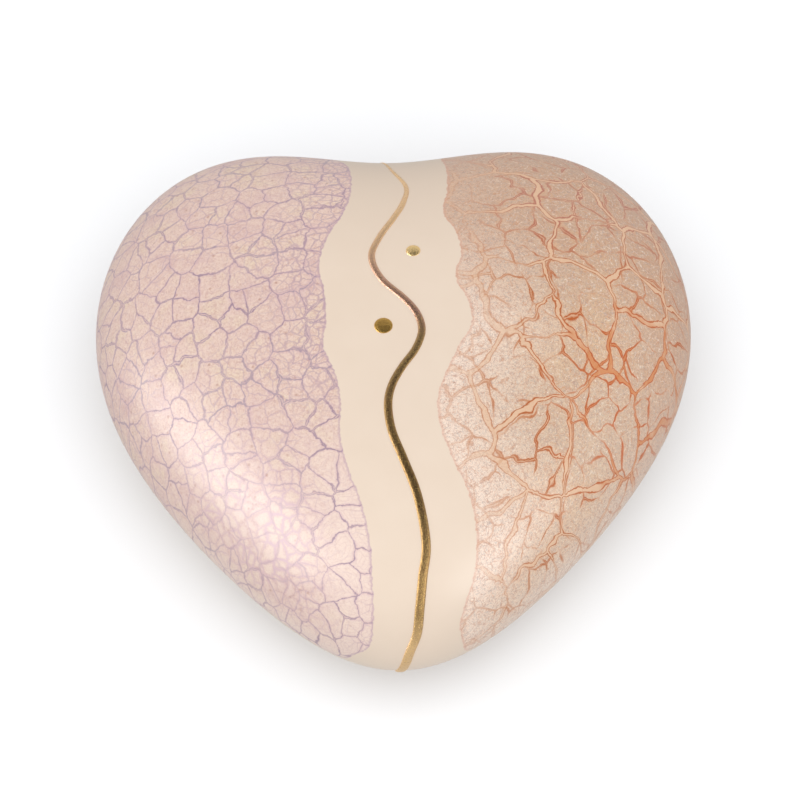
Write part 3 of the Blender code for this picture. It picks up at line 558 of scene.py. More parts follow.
def lilac_field(tree, place, inside, y):
    """Pink-cream cells between lilac cracks, with fine mottling, specks and faint rings."""
    flat = warped(tree, laid_flat(tree, place), 0.12, 1.0, 4.5)
    bent = warped(tree, flat, 0.45, 2.0, 1.7)
    bent = warped(tree, bent, 1.7, 2.0, 0.6)
    crack = to_edge(tree, bent, CRACKLE_CELL)
    middling = to_edge(tree, bent, MIDDLE_CELL)
    fine = to_edge(tree, bent, FINE_CELL)
    broad = add(tree, "TexNoise", {"Vector": place, "Scale": 0.05, "Detail": 2.0})
    patch = add(tree, "TexNoise", {"Vector": place, "Scale": 0.13, "Detail": 4.0})
    grain = add(tree, "TexNoise", {"Vector": place, "Scale": 1.5, "Detail": 4.0, "Roughness": 0.65})

    # Pink cream, warmer or cooler in patches, with a dark and a light grain in it.
    colour = tinted(tree, patch, linear("#E8CBBD"), "#EED4C7")
    for noise, low, high, most, code in (
        (patch, 0.52, 0.66, 0.8, "#EAD3BC"),
        (patch, 0.47, 0.34, 0.55, "#DDBDBB"),
        (grain, 0.46, 0.34, 0.45, "#D8B3A4"),
        (grain, 0.56, 0.70, 0.6, "#F3E0D2"),
    ):
        colour = tinted(tree, add(tree, "MapRange", {0: noise, 1: low, 2: high, 4: most}), colour, code)
    colour = tinted(tree, hairline(tree, place, 0.5, 0.022, 0.5), colour, "#C99D97")
    colour = tinted(tree, hairline(tree, place, 0.95, 0.03, 0.5), colour, "#CDA390")
    speck = add(tree, "TexVoronoi", {"Vector": place, "Scale": 0.30, "Randomness": 1.0}, "Distance")
    speck = add(tree, "MapRange", {0: speck, 1: 0.15, 2: 0.06, 4: 0.6})
    colour = tinted(tree, speck, colour, "#B98672")

    # It is paler beside the band in front.
    beside = add(tree, "MapRange", {0: inside, 1: 16.0, 2: 6.0, 4: 0.6})
    in_front = add(tree, "MapRange", {0: y, 1: -10.0, 2: -32.0})
    beside = add(tree, "Math", {0: beside, 1: in_front}, operation="MULTIPLY")
    colour = tinted(tree, beside, colour, "#F8E3D6")

    # Rims of pooled glaze follow each crack inwards, as faint rings.
    ring = add(tree, "Math", {0: crack, 1: 5.2, 2: patch}, operation="MULTIPLY_ADD")
    ring = add(tree, "Math", {0: ring}, operation="SINE")
    colour = tinted(tree, add(tree, "MapRange", {0: ring, 1: 0.75, 2: 1.0, 4: 0.25}), colour, "#CFA6A2")

    # Small cells crowd along the band at the back, and middling ones come and go elsewhere.
    near_band = add(tree, "MapRange", {0: inside, 1: 20.0, 2: 4.0, 4: 0.8})
    behind = add(tree, "MapRange", {0: y, 1: -14.0, 2: 4.0})
    crowd = add(tree, "Math", {0: near_band, 1: behind, 2: 0.12}, operation="MULTIPLY_ADD")
    line = add(tree, "MapRange", {0: fine, 1: 0.30, 2: 0.05})
    line = add(tree, "Math", {0: line, 1: crowd}, operation="MULTIPLY")
    colour = tinted(tree, line, colour, "#C6A8AC")
    crowd = add(tree, "MapRange", {0: broad, 1: 0.40, 2: 0.62, 3: 0.10, 4: 0.6})
    line = add(tree, "MapRange", {0: middling, 1: 0.26, 2: 0.06})
    line = add(tree, "Math", {0: line, 1: crowd}, operation="MULTIPLY")
    colour = tinted(tree, line, colour, "#C2A2AC")

    # Towards the tip the cracks fade, and round pale islands lie in a lilac haze. The haze is the glaze;
    # the pale islands and the faded cracks are partly glaze and partly a painted highlight on the left lobe.
    haze_and_highlight_zone = add(tree, "MapRange", {0: inside, 1: 7.0, 2: 20.0})
    towards_tip = add(tree, "MapRange", {0: y, 1: -6.0, 2: -30.0})
    haze_and_highlight_zone = add(tree, "Math", {0: haze_and_highlight_zone, 1: towards_tip}, operation="MULTIPLY")
    haze = add(tree, "MapRange", {0: middling, 1: 1.1, 2: 0.1})
    in_patches = add(tree, "MapRange", {0: patch, 1: 0.36, 2: 0.60})
    haze = add(tree, "Math", {0: haze, 1: in_patches}, operation="MULTIPLY")
    haze = add(tree, "Math", {0: haze, 1: haze_and_highlight_zone}, operation="MULTIPLY")
    colour = tinted(tree, haze, colour, "#DCBCC2")
    island = add(tree, "MapRange", {0: middling, 1: 0.3, 2: 1.2})
    pale_islands_and_highlight = add(tree, "Math", {0: haze_and_highlight_zone, 1: 0.55}, operation="MULTIPLY")
    pale_islands_and_highlight = add(tree, "Math", {0: pale_islands_and_highlight, 1: island}, operation="MULTIPLY")
    colour = tinted(tree, pale_islands_and_highlight, colour, "#F3DCD0")

    # The cracks: a soft stain, and in it a thin line, which is double where the crack is wide.
    # The lines fade where the painted highlight lies towards the tip.
    sharp = add(tree, "Math", {0: haze_and_highlight_zone, 1: -0.72, 2: 1.0}, operation="MULTIPLY_ADD")
    stain = add(tree, "MapRange", {0: crack, 1: 0.85, 2: 0.1, 4: 0.5})
    colour = tinted(tree, stain, colour, "#D6B4BA")
    width = add(tree, "MapRange", {0: patch, 1: 0.45, 2: 0.62, 3: 0.0, 4: 0.26})
    off = add(tree, "Math", {0: crack, 1: width}, operation="SUBTRACT")
    off = add(tree, "Math", {0: off}, operation="ABSOLUTE")
    strength = add(tree, "MapRange", {0: broad, 1: 0.34, 2: 0.55, 3: 0.85, 4: 0.5})
    strength = add(tree, "Math", {0: strength, 1: sharp}, operation="MULTIPLY")
    line = add(tree, "MapRange", {0: off, 1: 0.20, 2: 0.05, 4: strength})
    colour = tinted(tree, line, colour, "#987E94")
    grey = add(tree, "MapRange", {0: broad, 1: 0.50, 2: 0.62, 4: 0.4})
    grey = add(tree, "Math", {0: grey, 1: line}, operation="MULTIPLY")
    colour = tinted(tree, grey, colour, "#878C9E")
    rim = add(tree, "MapRange", {0: inside, 1: 0.75, 2: 0.25, 4: 0.55})
    return tinted(tree, rim, colour, "#BC9CAC"), line


print("lilac cells:", CRACKLE_CELL, MIDDLE_CELL, FINE_CELL, "mm")

# %% Veined glaze
# In mm: how far apart the veins and their branches are, and half their greatest width.
VEINS = {"branch": (10.0, 0.28), "vein": (19.0, 0.72)}
# For each layer of hair cracks, its cells and half its lines' width in mm, its colour and strength.
SCRIBBLES = ((2.2, 0.16, "#F6E6D6", 0.8), (1.5, 0.13, "#B98F7C", 0.5), (2.9, 0.12, "#C68D68", 0.5))
# Where the iron gathered and the veins are the deepest orange.
HOT_PLACE = (56, -10, 46)


def veined_field(tree, place, inside, x, y):
    """Sandy glaze with a scribble of hair cracks, crossed by branching orange veins."""
    flat = warped(tree, laid_flat(tree, place), 0.05, 1.0, 11.0)
    bent = warped(tree, flat, 0.13, 1.0, 6.0)
    bent = warped(tree, bent, 0.60, 2.0, 1.1)
    broad = add(tree, "TexNoise", {"Vector": place, "Scale": 0.045, "Detail": 2.0})
    patch = add(tree, "TexNoise", {"Vector": place, "Scale": 0.2, "Detail": 4.0})
    grain = add(tree, "TexNoise", {"Vector": place, "Scale": 1.3, "Detail": 5.0, "Roughness": 0.7})

    # Sand, in patches, pale beside the band, deeper at the far side, and darker at the back by painted
    # shade.
    colour = tinted(tree, patch, linear("#E0C5A9"), "#D6B89C")
    for value, low, high, most, code in (
        (broad, 0.42, 0.60, 0.7, "#E0BC97"),
        (inside, 26.0, 3.0, 0.9, "#FAE4D3"),
        (x, 50.0, 70.0, 0.6, "#CDA183"),
        # Painted shade: darker towards the back.
        (y, 12.0, 45.0, 0.75, "#CBA588"),
    ):
        colour = tinted(tree, add(tree, "MapRange", {0: value, 1: low, 2: high, 4: most}), colour, code)

    # A dark and a light grain and the scribble of hair cracks, which are quiet beside the band.
    quiet = add(tree, "MapRange", {0: inside, 1: 4.0, 2: 26.0, 3: 0.4, 4: 1.0})
    for low, high, most, code in ((0.44, 0.30, 0.45, "#C6A088"), (0.56, 0.70, 0.55, "#F0E2D0")):
        mottle = add(tree, "MapRange", {0: grain, 1: low, 2: high, 4: most})
        mottle = add(tree, "Math", {0: mottle, 1: quiet}, operation="MULTIPLY")
        colour = tinted(tree, mottle, colour, code)
    for size, half, code, most in SCRIBBLES:
        scribble = to_edge(tree, warped(tree, bent, 0.9, 2.0, 1.3), size)
        shown = add(tree, "MapRange", {0: grain, 1: 0.38, 2: 0.60, 4: most})
        shown = add(tree, "Math", {0: shown, 1: quiet}, operation="MULTIPLY")
        scribble = add(tree, "MapRange", {0: scribble, 1: half, 2: half * 0.3, 4: shown})
        colour = tinted(tree, scribble, colour, code)
    colour = tinted(tree, hairline(tree, place, 0.40, 0.020, 0.55), colour, "#C98A62")
    colour = tinted(tree, hairline(tree, place, 0.75, 0.030, 0.50), colour, "#B98A78")
    colour = tinted(tree, hairline(tree, place, 1.1, 0.035, 0.40), colour, "#908B90")

    # Orange at the side and front, rosy at the back, and faint beside the band.
    behind = add(tree, "MapRange", {0: y, 1: 26.0, 2: 50.0})
    dark = tinted(tree, behind, linear("#B9642C"), "#B87460")
    hottest = add(tree, "VectorMath", {0: place, 1: HOT_PLACE}, "Value", operation="DISTANCE")
    hot = add(tree, "MapRange", {0: hottest, 1: 34.0, 2: 12.0})
    dark = tinted(tree, hot, dark, "#C0581A")
    away = add(tree, "MapRange", {0: inside, 1: 3.0, 2: 18.0, 3: 0.3, 4: 1.0})
    relief = None
    for kind, presence in (("branch", 0.44), ("vein", 0.30)):
        size, widest = VEINS[kind]
        vein = to_edge(tree, bent, size)
        alive = add(tree, "TexNoise", {"Vector": place, "Scale": 1.0 / size, "Detail": 2.0})
        width = add(tree, "MapRange", {0: alive, 1: presence, 2: presence + 0.2, 3: 0.06, 4: widest})
        shown = add(tree, "MapRange", {0: alive, 1: presence - 0.04, 2: presence + 0.10})
        shown = add(tree, "Math", {0: shown, 1: away}, operation="MULTIPLY")
        filled = add(tree, "Math", {0: width, 1: vein}, operation="SUBTRACT")
        halo = add(tree, "MapRange", {0: filled, 1: -1.1, 2: 0.0, 4: 0.35})
        halo = add(tree, "Math", {0: halo, 1: shown}, operation="MULTIPLY")
        colour = tinted(tree, halo, colour, "#E2AE84")
        fill = add(tree, "MapRange", {0: filled, 1: -0.1, 2: 0.12, 4: 0.8})
        fill = add(tree, "Math", {0: fill, 1: shown}, operation="MULTIPLY")
        flood = add(tree, "Math", {0: hot, 1: patch}, operation="MULTIPLY")
        flood = add(tree, "MapRange", {0: flood, 1: 0.22, 2: 0.42, 4: 0.9})
        filling = tinted(tree, flood, linear("#E6BE9C"), "#D27A36")
        colour = tinted(tree, fill, colour, filling)
        rim = add(tree, "Math", {0: filled}, operation="ABSOLUTE")
        thick = add(tree, "MapRange", {0: patch, 1: 0.35, 2: 0.65, 3: 0.15, 4: 0.34})
        rim = add(tree, "Math", {0: rim, 1: thick}, operation="DIVIDE")
        rim = add(tree, "MapRange", {0: rim, 1: 1.0, 2: 0.2})
        rim = add(tree, "Math", {0: rim, 1: shown}, operation="MULTIPLY")
        colour = tinted(tree, rim, colour, dark)
        relief = rim if relief is None else add(tree, "Math", {0: rim, 1: relief}, operation="MAXIMUM")
    rim = add(tree, "MapRange", {0: inside, 1: 0.9, 2: 0.3, 4: 0.45})
    return tinted(tree, rim, colour, "#D9A48C"), relief


print("veins:", VEINS)


# %% Reactive glaze on the heart
def reactive_glaze():
    """Satin stoneware glaze with little relief, plus painted shade at the back and a painted highlight."""
    made, tree, shader, place = start_material("reactive_glaze_on_stoneware", ior=1.5)
    over, x, y, z = over_heart(tree, place)
    left, right = field_masks(tree, place, over, x, z)

    # The cream band, with painted shade that darkens it towards the back, then the two fields over it.
    soft = add(tree, "TexNoise", {"Vector": place, "Scale": 0.12, "Detail": 3.0})
    colour = tinted(tree, soft, linear("#E9D5C1"), "#EDDAC7")
    colour = tinted(tree, add(tree, "MapRange", {0: y, 1: 30.0, 2: 70.0, 4: 0.5}), colour, "#D2BEAB")
    fields = ((left, lilac_field(tree, place, left, y)), (right, veined_field(tree, place, right, x, y)))
    relief = None
    for inside, (painted, raised) in fields:
        mask = add(tree, "MapRange", {0: inside, 1: -0.10, 2: 0.16})
        colour = tinted(tree, mask, colour, painted)
        raised = add(tree, "Math", {0: raised, 1: mask}, operation="MULTIPLY")
        relief = raised if relief is None else add(tree, "Math", {0: relief, 1: raised}, operation="ADD")

    # Bare clay where the heart stands and inside the recess. Glaze is glossy and clay is dull.
    from_axis = add(tree, "VectorMath", {0: place, 1: (0, -RECESS_Y / MM, 0)}, operation="ADD")
    from_axis = add(tree, "VectorMath", {0: from_axis, 1: (1, 1, 0)}, operation="MULTIPLY")
    from_axis = add(tree, "VectorMath", {0: from_axis}, "Value", operation="LENGTH")
    in_recess = add(tree, "Math", {0: from_axis, 1: (RECESS_RADIUS + EDGE) / MM}, operation="LESS_THAN")
    below = add(tree, "Math", {0: z, 1: 0.0}, operation="LESS_THAN")
    in_recess = add(tree, "Math", {0: in_recess, 1: below}, operation="MULTIPLY")
    foot_z = (FOOT_Z - EQUATOR_Z) / MM
    foot = add(tree, "MapRange", {0: z, 1: foot_z + 0.7, 2: foot_z + 0.4})
    bare = add(tree, "Math", {0: in_recess, 1: foot}, operation="MAXIMUM")
    clay = add(tree, "TexNoise", {"Vector": place, "Scale": 2.5, "Detail": 4.0})
    clay = tinted(tree, clay, linear("#E4D8C6"), "#F0E7DA")
    colour = tinted(tree, bare, colour, clay)
    rough = add(tree, "MapRange", {0: soft, 1: 0.3, 2: 0.7, 3: 0.34, 4: 0.42})
    rough = add(tree, "Mix", {"Factor": bare, 2: rough, 3: 0.85}, 0)
    sunk = add(tree, "Math", {0: relief, 1: -1.0}, operation="MULTIPLY")
    finish_material(tree, shader, colour, rough, sunk, 0.04 * MM)
    return made


glaze = reactive_glaze()
new_piece("ceramic_heart", shell_bmesh, glaze, "base", ["heart_shell"], sharp=50)

# %% [markdown]
# ## The gold line and dots
#
# Liquid gold is brushed over a line of raised enamel and fired, so the real line is a low
# round bead. It widens towards the tip. A curve with a bevel would roll over as the surface
# turns, so the bead starts as a rod with many rings instead, and each ring is laid on the
# surface, across the line, with its lower half sunk in the glaze.

# %% Gold line
# Points of (degrees over the heart, mm from the middle).
GOLD_ROUTE = (
    (8, -2.5), (17, 0.2), (24, 3.7), (29, 2.8), (33, 0.6), (39, -3.2), (45, -5.2), (52, -3.0),
    (59, 2.2), (65, 5.3), (72, 6.4), (80, 4.8), (88, 1.5), (96, -1.0), (104, -2.0), (114, -1.3),
    (124, 1.3), (135, 4.4), (147, 6.1), (155, 5.2), (163, 4.4), (170, 3.7), (178, 1.7), (196, -1.0),
)
STATIONS, AROUND = 220, 16
BEAD_WIDTHS = (1.4 * MM, 2.35 * MM)
BEAD_HEIGHT, BEAD_SINK = 0.42 * MM, 0.3 * MM


def eased(route, share):
    """A smooth curve through the route's points, as degrees over the heart and mm from the middle."""
    position = share * (len(route) - 1)
    i = min(int(position), len(route) - 2)
    t = position - i
    ends = [route[max(0, min(len(route) - 1, i + k))] for k in (-1, 0, 1, 2)]
    return [
        b + 0.5 * t * (c - a + t * (2 * a - 5 * b + 4 * c - d + t * (3 * (b - c) + d - a)))
        for a, b, c, d in zip(*ends)
    ]


spots = []
for i in range(STATIONS):
    degrees, x = eased(GOLD_ROUTE, i / (STATIONS - 1))
    spots.append(on_heart(degrees, x * MM))
bead = bmesh.new()
bmesh.ops.create_cone(bead, cap_ends=True, segments=AROUND, radius1=1, radius2=1, depth=1)
long_edges = [edge for edge in bead.edges if abs(edge.verts[0].co.z - edge.verts[1].co.z) > 0.5]
bmesh.ops.subdivide_edges(bead, edges=long_edges, cuts=STATIONS - 2, use_grid_fill=True)
for vertex in bead.verts:
    share = min(1, max(0, vertex.co.z + 0.5))
    i = round(share * (STATIONS - 1))
    centre, normal = spots[i]
    ahead = spots[min(i + 1, STATIONS - 1)][0] - spots[max(i - 1, 0)][0]
    side = ahead.cross(normal).normalized()
    width = BEAD_WIDTHS[0] + (BEAD_WIDTHS[1] - BEAD_WIDTHS[0]) * share
    taper = min(1, 0.3 + 5 * share, 0.15 + 60 * (1 - share))
    rise = BEAD_HEIGHT * vertex.co.y * taper if vertex.co.y > 0 else BEAD_SINK * vertex.co.y
    vertex.co = centre + side * vertex.co.x * width / 2 * taper + normal * rise
bmesh.ops.recalc_face_normals(bead, faces=bead.faces)
print("gold line:", len(GOLD_ROUTE), "points,", len(bead.faces), "faces")

# %% [markdown]
# ## Fired gold
#
# Fired gold is a real metal film. It takes the bead's small unevenness with it, so it glitters,
# and where the film is thin it turns mauve and brown. Metallic is 1, and the colour along the line
# is partly that film colour and partly painted reflection: pale at the back and at the tip, where
# the gold would mirror the bright horizon and the card, and mauve and dark bronze between, under
# the dark ceiling. Fine noises, 1 mm and 0.25 mm across, give the ripple and the specks, and the
# brightest specks are painted glints. Each dot is a drop of the same gold: a sphere pressed flat
# and laid on the glaze, whose colour is a painted reflection too.


# %% Gold lustre
def gold_lustre(name, stops):
    """Fired gold film: rippled metal, its colour partly the film's and partly painted reflection and glints.
    """
    made, tree, shader, place = start_material(name, metallic=1.0)
    over = over_heart(tree, place)[0]
    ripple = add(tree, "TexNoise", {"Vector": place, "Scale": 1.1, "Detail": 4.0, "Roughness": 0.6})
    fleck = add(tree, "TexNoise", {"Vector": place, "Scale": 4.0, "Detail": 3.0})
    shifted = add(tree, "Math", {0: ripple, 1: 0.02, 2: -0.01}, operation="MULTIPLY_ADD")
    shifted = add(tree, "Math", {0: over, 1: shifted}, operation="ADD")
    # Painted reflection: the ramp's colours follow what the line mirrors along its length, over the film's
    # own colour.
    film_and_reflection_colour = add(tree, "ValToRGB", {"Fac": shifted})
    set_stops(film_and_reflection_colour.node, stops)
    # Painted glints: bright flecks in the colour.
    spark = add(tree, "MapRange", {0: fleck, 1: 0.56, 2: 0.66, 4: 0.6})
    film_and_reflection_colour = tinted(tree, spark, film_and_reflection_colour, "#F0CF7A")
    rough = add(tree, "MapRange", {0: fleck, 1: 0.35, 2: 0.65, 3: 0.26, 4: 0.46})
    height = add(tree, "Math", {0: ripple, 1: fleck}, operation="ADD")
    finish_material(tree, shader, film_and_reflection_colour, rough, height, 0.12 * MM)
    return made


# Colours along the line from the back to the tip: partly the film's own, partly painted reflection, pale
# where it mirrors the horizon and the card, dark bronze under the dark ceiling.
LINE_COLOURS_AND_REFLECTIONS = (
    (0.00, "#F0CFA4"), (0.24, "#E9C39A"), (0.29, "#CFA48C"), (0.35, "#B98F7E"), (0.40, "#A98A60"),
    (0.50, "#A38258"), (0.62, "#967750"), (0.77, "#A08156"), (0.81, "#F2CB96"),
)
new_piece("gold_bead", bead, gold_lustre("fired_gold_line", LINE_COLOURS_AND_REFLECTIONS), "base", ["gold_line"])

# %% Gold dots
DOT_HEIGHT = 0.45 * MM
# Name, node, degrees over the heart, mm from the middle, radius and colour, which is a painted
# reflection: dark on the left dot and bright on the right.
DOTS = (
    ("left_gold_bead", "gold_dot_left", 70, -2.7, 2.2 * MM, "#C49A52"),
    ("right_gold_bead", "gold_dot_right", 43.3, 4.9, 1.75 * MM, "#F0CF94"),
)
for name, node, degrees, x, radius, code in DOTS:
    centre, normal = on_heart(degrees, x * MM)
    dot = bmesh.new()
    bmesh.ops.create_uvsphere(dot, u_segments=48, v_segments=24, radius=1)
    lay = Matrix.Translation(centre) @ normal.to_track_quat("Z", "Y").to_matrix().to_4x4()
    bmesh.ops.transform(dot, matrix=lay @ Matrix.Diagonal((radius, radius, DOT_HEIGHT, 1)), verts=dot.verts)
    # The dot's colour is a painted reflection.
    finish = gold_lustre(f"fired_gold_{name}", ((0.0, code), (1.0, code)))
    new_piece(name, dot, finish, "base", [node])

# %% [markdown]
# ## Plain finishes for the rest
#
# The other pieces are of one material each. What tells such materials apart is how rough they
# are and how fine their unevenness is, so one function makes them all from two close tones
# and a noise, and a second, wider noise wears them in patches. The scale of the noise is one
# over the size of a grain in mm, and its stretch draws the grain out along one direction.


# %% Metals, plastic, rubber and felt
def plain_finish(name, light, dark, scale, rough, stretch=(1, 1, 1), depth=0.02 * MM, **constants):
    """A finish of two close tones in a noise, which also varies its roughness and its relief."""
    made, tree, shader, place = start_material(name, **constants)
    drawn = add(tree, "VectorMath", {0: place, 1: stretch}, operation="MULTIPLY")
    noise = add(tree, "TexNoise", {"Vector": drawn, "Scale": scale, "Detail": 5.0, "Roughness": 0.6})
    wear = add(tree, "TexNoise", {"Vector": place, "Scale": 0.25, "Detail": 3.0})
    both = add(tree, "Mix", {"Factor": 0.35, 2: noise, 3: wear}, 0)
    both = add(tree, "MapRange", {0: both, 1: 0.35, 2: 0.65})
    colour = add(tree, "Mix", {"Factor": both, 6: linear(light), 7: linear(dark)}, 2, data_type="RGBA")
    rough = add(tree, "MapRange", {0: both, 3: rough[0], 4: rough[1]})
    finish_material(tree, shader, colour, rough, noise, depth)
    return made


FINISHES = {
    # Matted fibres, really 0.02 mm thick and drawn as tufts of 0.3 mm: a soft, dull, fuzzy face.
    "felt": plain_finish(
        "pressed_wool_felt", "#E6DCCB", "#C4B59F", 3.0, (0.9, 1.0), depth=0.15 * MM, sheen_weight=0.3
    ),
    # Moulded in a blasted tool, 0.5 mm dapples: black with a broad grey sheen.
    "rubber": plain_finish("moulded_black_rubber", "#2B2A29", "#1D1C1C", 2.0, (0.55, 0.75)),
    # The tool was spark-eroded, 0.3 mm pits: an even, slightly sparkling dark face.
    "plastic": plain_finish("spark_textured_abs", "#3A3532", "#2C2826", 3.5, (0.42, 0.58), depth=0.03 * MM),
    # Cast skin with flow marks of about 1 mm: cloudy, light grey metal.
    "zinc": plain_finish("die_cast_zinc", "#B9BABD", "#9A9BA0", 1.2, (0.4, 0.6), metallic=1.0),
    # Ground along Y with a fine grit: grey metal whose lines stretch the highlights.
    "steel": plain_finish(
        "ground_spring_steel", "#B4B5B8", "#8C8E93", 4.0, (0.22, 0.4), (1, 0.1, 1), metallic=1.0
    ),
    # Plated over polished steel: warm, nearly mirror bright, hardly any grain.
    "nickel": plain_finish(
        "nickel_plate", "#D8D4CC", "#C2BDB3", 1.5, (0.14, 0.26), depth=0.005 * MM, metallic=1.0
    ),
    # Rolled sheet with long faint marks: yellow metal, a little cloudy.
    "brass": plain_finish(
        "rolled_brass", "#D9B36A", "#B98F4B", 2.5, (0.22, 0.36), (1, 1, 0.2), metallic=1.0
    ),
}
print("finishes:", ", ".join(FINISHES))

# %% [markdown]
# ## The pads and the seal
#
# Three felt pads keep the ceramic off the table, and a rubber ring, a U in section, grips the
# base plate in its recess. The frame has both with few facets. Here they are turned again
# with softened edges, because a rim catches light only if it isn't sharp.

# %% Pads and seal
SOFT_EDGE = 0.3 * MM
PAD_EDGE = 0.25 * MM
SEAL_LIP, SEAL_WEB = 3.2 * MM, 1 * MM

for name in ("foot_pad_1", "foot_pad_2", "foot_pad_3"):
    low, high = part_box(name)
    radius = (high.x - low.x) / 2
    pad = [(0, high.z), (radius - PAD_EDGE, high.z), (radius, high.z - PAD_EDGE)]
    pad += [(radius, PAD_EDGE), (radius - PAD_EDGE, 0), (0, 0)]
    pad = spin_profile(pad, ((low.x + high.x) / 2, (low.y + high.y) / 2, 0), steps=64)
    new_piece("felt_" + name, pad, FINISHES["felt"], "base", [name], sharp=60)

low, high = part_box("base_seal")
outer, inner, groove = high.x, high.x - SEAL_LIP, high.x - SEAL_WEB
seal = [(inner, low.z + SOFT_EDGE), (inner + SOFT_EDGE, low.z)]
seal += [(outer - SOFT_EDGE, low.z), (outer, low.z + SOFT_EDGE), (outer, high.z), (inner, high.z)]
seal += [(inner, high.z - SEAL_WEB), (groove, high.z - SEAL_WEB)]
seal += [(groove, low.z + SEAL_WEB), (inner, low.z + SEAL_WEB)]
seal = spin_profile(seal, (0, RECESS_Y, 0), steps=144, ring=True)
new_piece("rubber_seal", seal, FINISHES["rubber"], "base", ["base_seal"], sharp=50)

# %% [markdown]
# ## The screws and the base plate
#
# The plate is a moulded disc with holes for the key's arbor, the stop's spindle and the screws,
# and six more that let the sound out. Each hole is drilled through the turned disc, and each
# screw's slot is sawn into its turned head, just as the tools do it.

# %% Screws and base plate
HEAD_HEIGHT, SHANK_RADIUS = 1.4 * MM, 1.3 * MM
SLOT_HALF_WIDTH, SLOT_DEPTH = 0.3 * MM, 0.5 * MM
ARBOR_HOLE, SPINDLE_HOLE, SCREW_HOLE, SOUND_HOLE = 2.2 * MM, 1.4 * MM, 1.7 * MM, 2.2 * MM
SOUND_RING = 29 * MM

places = {joint["name"]: joint["pos_m"] for joint in frame["record"]["behaviour"]["joints"]}
low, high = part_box("base_plate")
below, above = low.z - MM, high.z + MM
holes = [drill(ARBOR_HOLE, places["key_turn"], below, above)]
holes.append(drill(SPINDLE_HOLE, places["stop_lever"], below, above))
for name in ("movement_screw_1", "movement_screw_2", "movement_screw_3"):
    foot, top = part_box(name)
    middle = (foot + top) / 2
    holes.append(drill(SCREW_HOLE, middle, below, above))
    head, under = top.x - middle.x, foot.z + HEAD_HEIGHT
    screw = [(0, top.z), (SHANK_RADIUS, top.z), (SHANK_RADIUS, under), (head, under)]
    screw += [(head, foot.z + SOFT_EDGE), (head - SOFT_EDGE, foot.z), (0, foot.z)]
    screw = spin_profile(screw, (middle.x, middle.y, 0), steps=48)
    reach = Vector((head + MM, SLOT_HALF_WIDTH, SLOT_DEPTH))
    slot = Vector((middle.x, middle.y, foot.z))
    screw = carved(screw, [("DIFFERENCE", bar(slot - reach, slot + reach))])
    new_piece("slotted_" + name, screw, FINISHES["steel"], "base", [name], sharp=35)
for degrees in (60, 90, 120, 240, 270, 300):
    a = math.radians(degrees)
    spot = (SOUND_RING * math.cos(a), RECESS_Y + SOUND_RING * math.sin(a))
    holes.append(drill(SOUND_HOLE, spot, below, above))
rim = high.x
disc = [(0, high.z), (rim, high.z), (rim, low.z + SOFT_EDGE), (rim - SOFT_EDGE, low.z), (0, low.z)]
disc = carved(spin_profile(disc, (0, RECESS_Y, 0), steps=144), [("DIFFERENCE", hole) for hole in holes])
new_piece("moulded_base_plate", disc, FINISHES["plastic"], "base", ["base_plate"], sharp=35)

# %% [markdown]
# ## The key
#
# The key is a butterfly: a sleeve that screws on the arbor, and two wings pressed from sheet,
# each with a round end and an eye in it. A wing is a tapering block joined to a turned disc
# laid on its side, and the eye is drilled through both. Each wing is finished before it is
# joined to the sleeve, because a long chain of Booleans on one form can leave gaps in it.

# %% Winding key
WING_RADIUS, WING_HALF_THICKNESS, EYE_RADIUS = 3.5 * MM, 0.8 * MM, 1.5 * MM
SLEEVE_RADIUS, SLEEVE_FOOT, SLEEVE_BORE = 3 * MM, 3.2 * MM, 1.95 * MM
BORE_END = 7.5 * MM
# Boolean parts must not share a plane: a wing is a little thinner than its end, and starts
# inside the sleeve but short of the other wing.
WING_STEP, ROOT_X = 0.05 * MM, 1 * MM
# The wing's height at its root, and how much of its full height it gains by its end.
ROOT_SHARE, GAIN_SHARE = 0.55, 0.44

low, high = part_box("winding_key")
x, y = places["key_turn"][:2]
length, middle_z = high.x - x - WING_RADIUS, low.z + WING_RADIUS
sleeve = [(0, high.z), (SLEEVE_RADIUS, high.z), (SLEEVE_RADIUS, SLEEVE_FOOT + SOFT_EDGE)]
sleeve += [(SLEEVE_RADIUS - SOFT_EDGE, SLEEVE_FOOT), (0, SLEEVE_FOOT)]
thick, flat, leaf = WING_HALF_THICKNESS, WING_RADIUS - SOFT_EDGE, WING_HALF_THICKNESS - WING_STEP
end_profile = [(0, thick), (flat, thick), (WING_RADIUS, thick - SOFT_EDGE)]
end_profile += [(WING_RADIUS, SOFT_EDGE - thick), (flat, -thick), (0, -thick)]
on_side = Matrix.Rotation(math.radians(90), 4, "X")
steps = []
for side in (1, -1):
    lay = Matrix.Translation((x + side * length, y, middle_z)) @ on_side
    round_end = spin_profile(end_profile, steps=64)
    bmesh.ops.transform(round_end, matrix=lay, verts=round_end.verts)
    web = bar((ROOT_X, -leaf, -WING_RADIUS), (length, leaf, WING_RADIUS), SOFT_EDGE)
    for vertex in web.verts:
        vertex.co.z *= ROOT_SHARE + GAIN_SHARE * max(0, min(1, vertex.co.x / length))
        vertex.co.x *= side
    bmesh.ops.recalc_face_normals(web, faces=web.faces)
    bmesh.ops.translate(web, vec=(x, y, middle_z), verts=web.verts)
    eye = drill(EYE_RADIUS, (0, 0), -2 * MM, 2 * MM)
    bmesh.ops.transform(eye, matrix=lay, verts=eye.verts)
    steps.append(("UNION", carved(round_end, [("UNION", web), ("DIFFERENCE", eye)])))
steps.append(("DIFFERENCE", drill(SLEEVE_BORE, (x, y), BORE_END, high.z + MM)))
key = carved(spin_profile(sleeve, (x, y, 0)), steps)
new_piece("butterfly_key", key, FINISHES["nickel"], "winder", ["winding_key"], sharp=35)

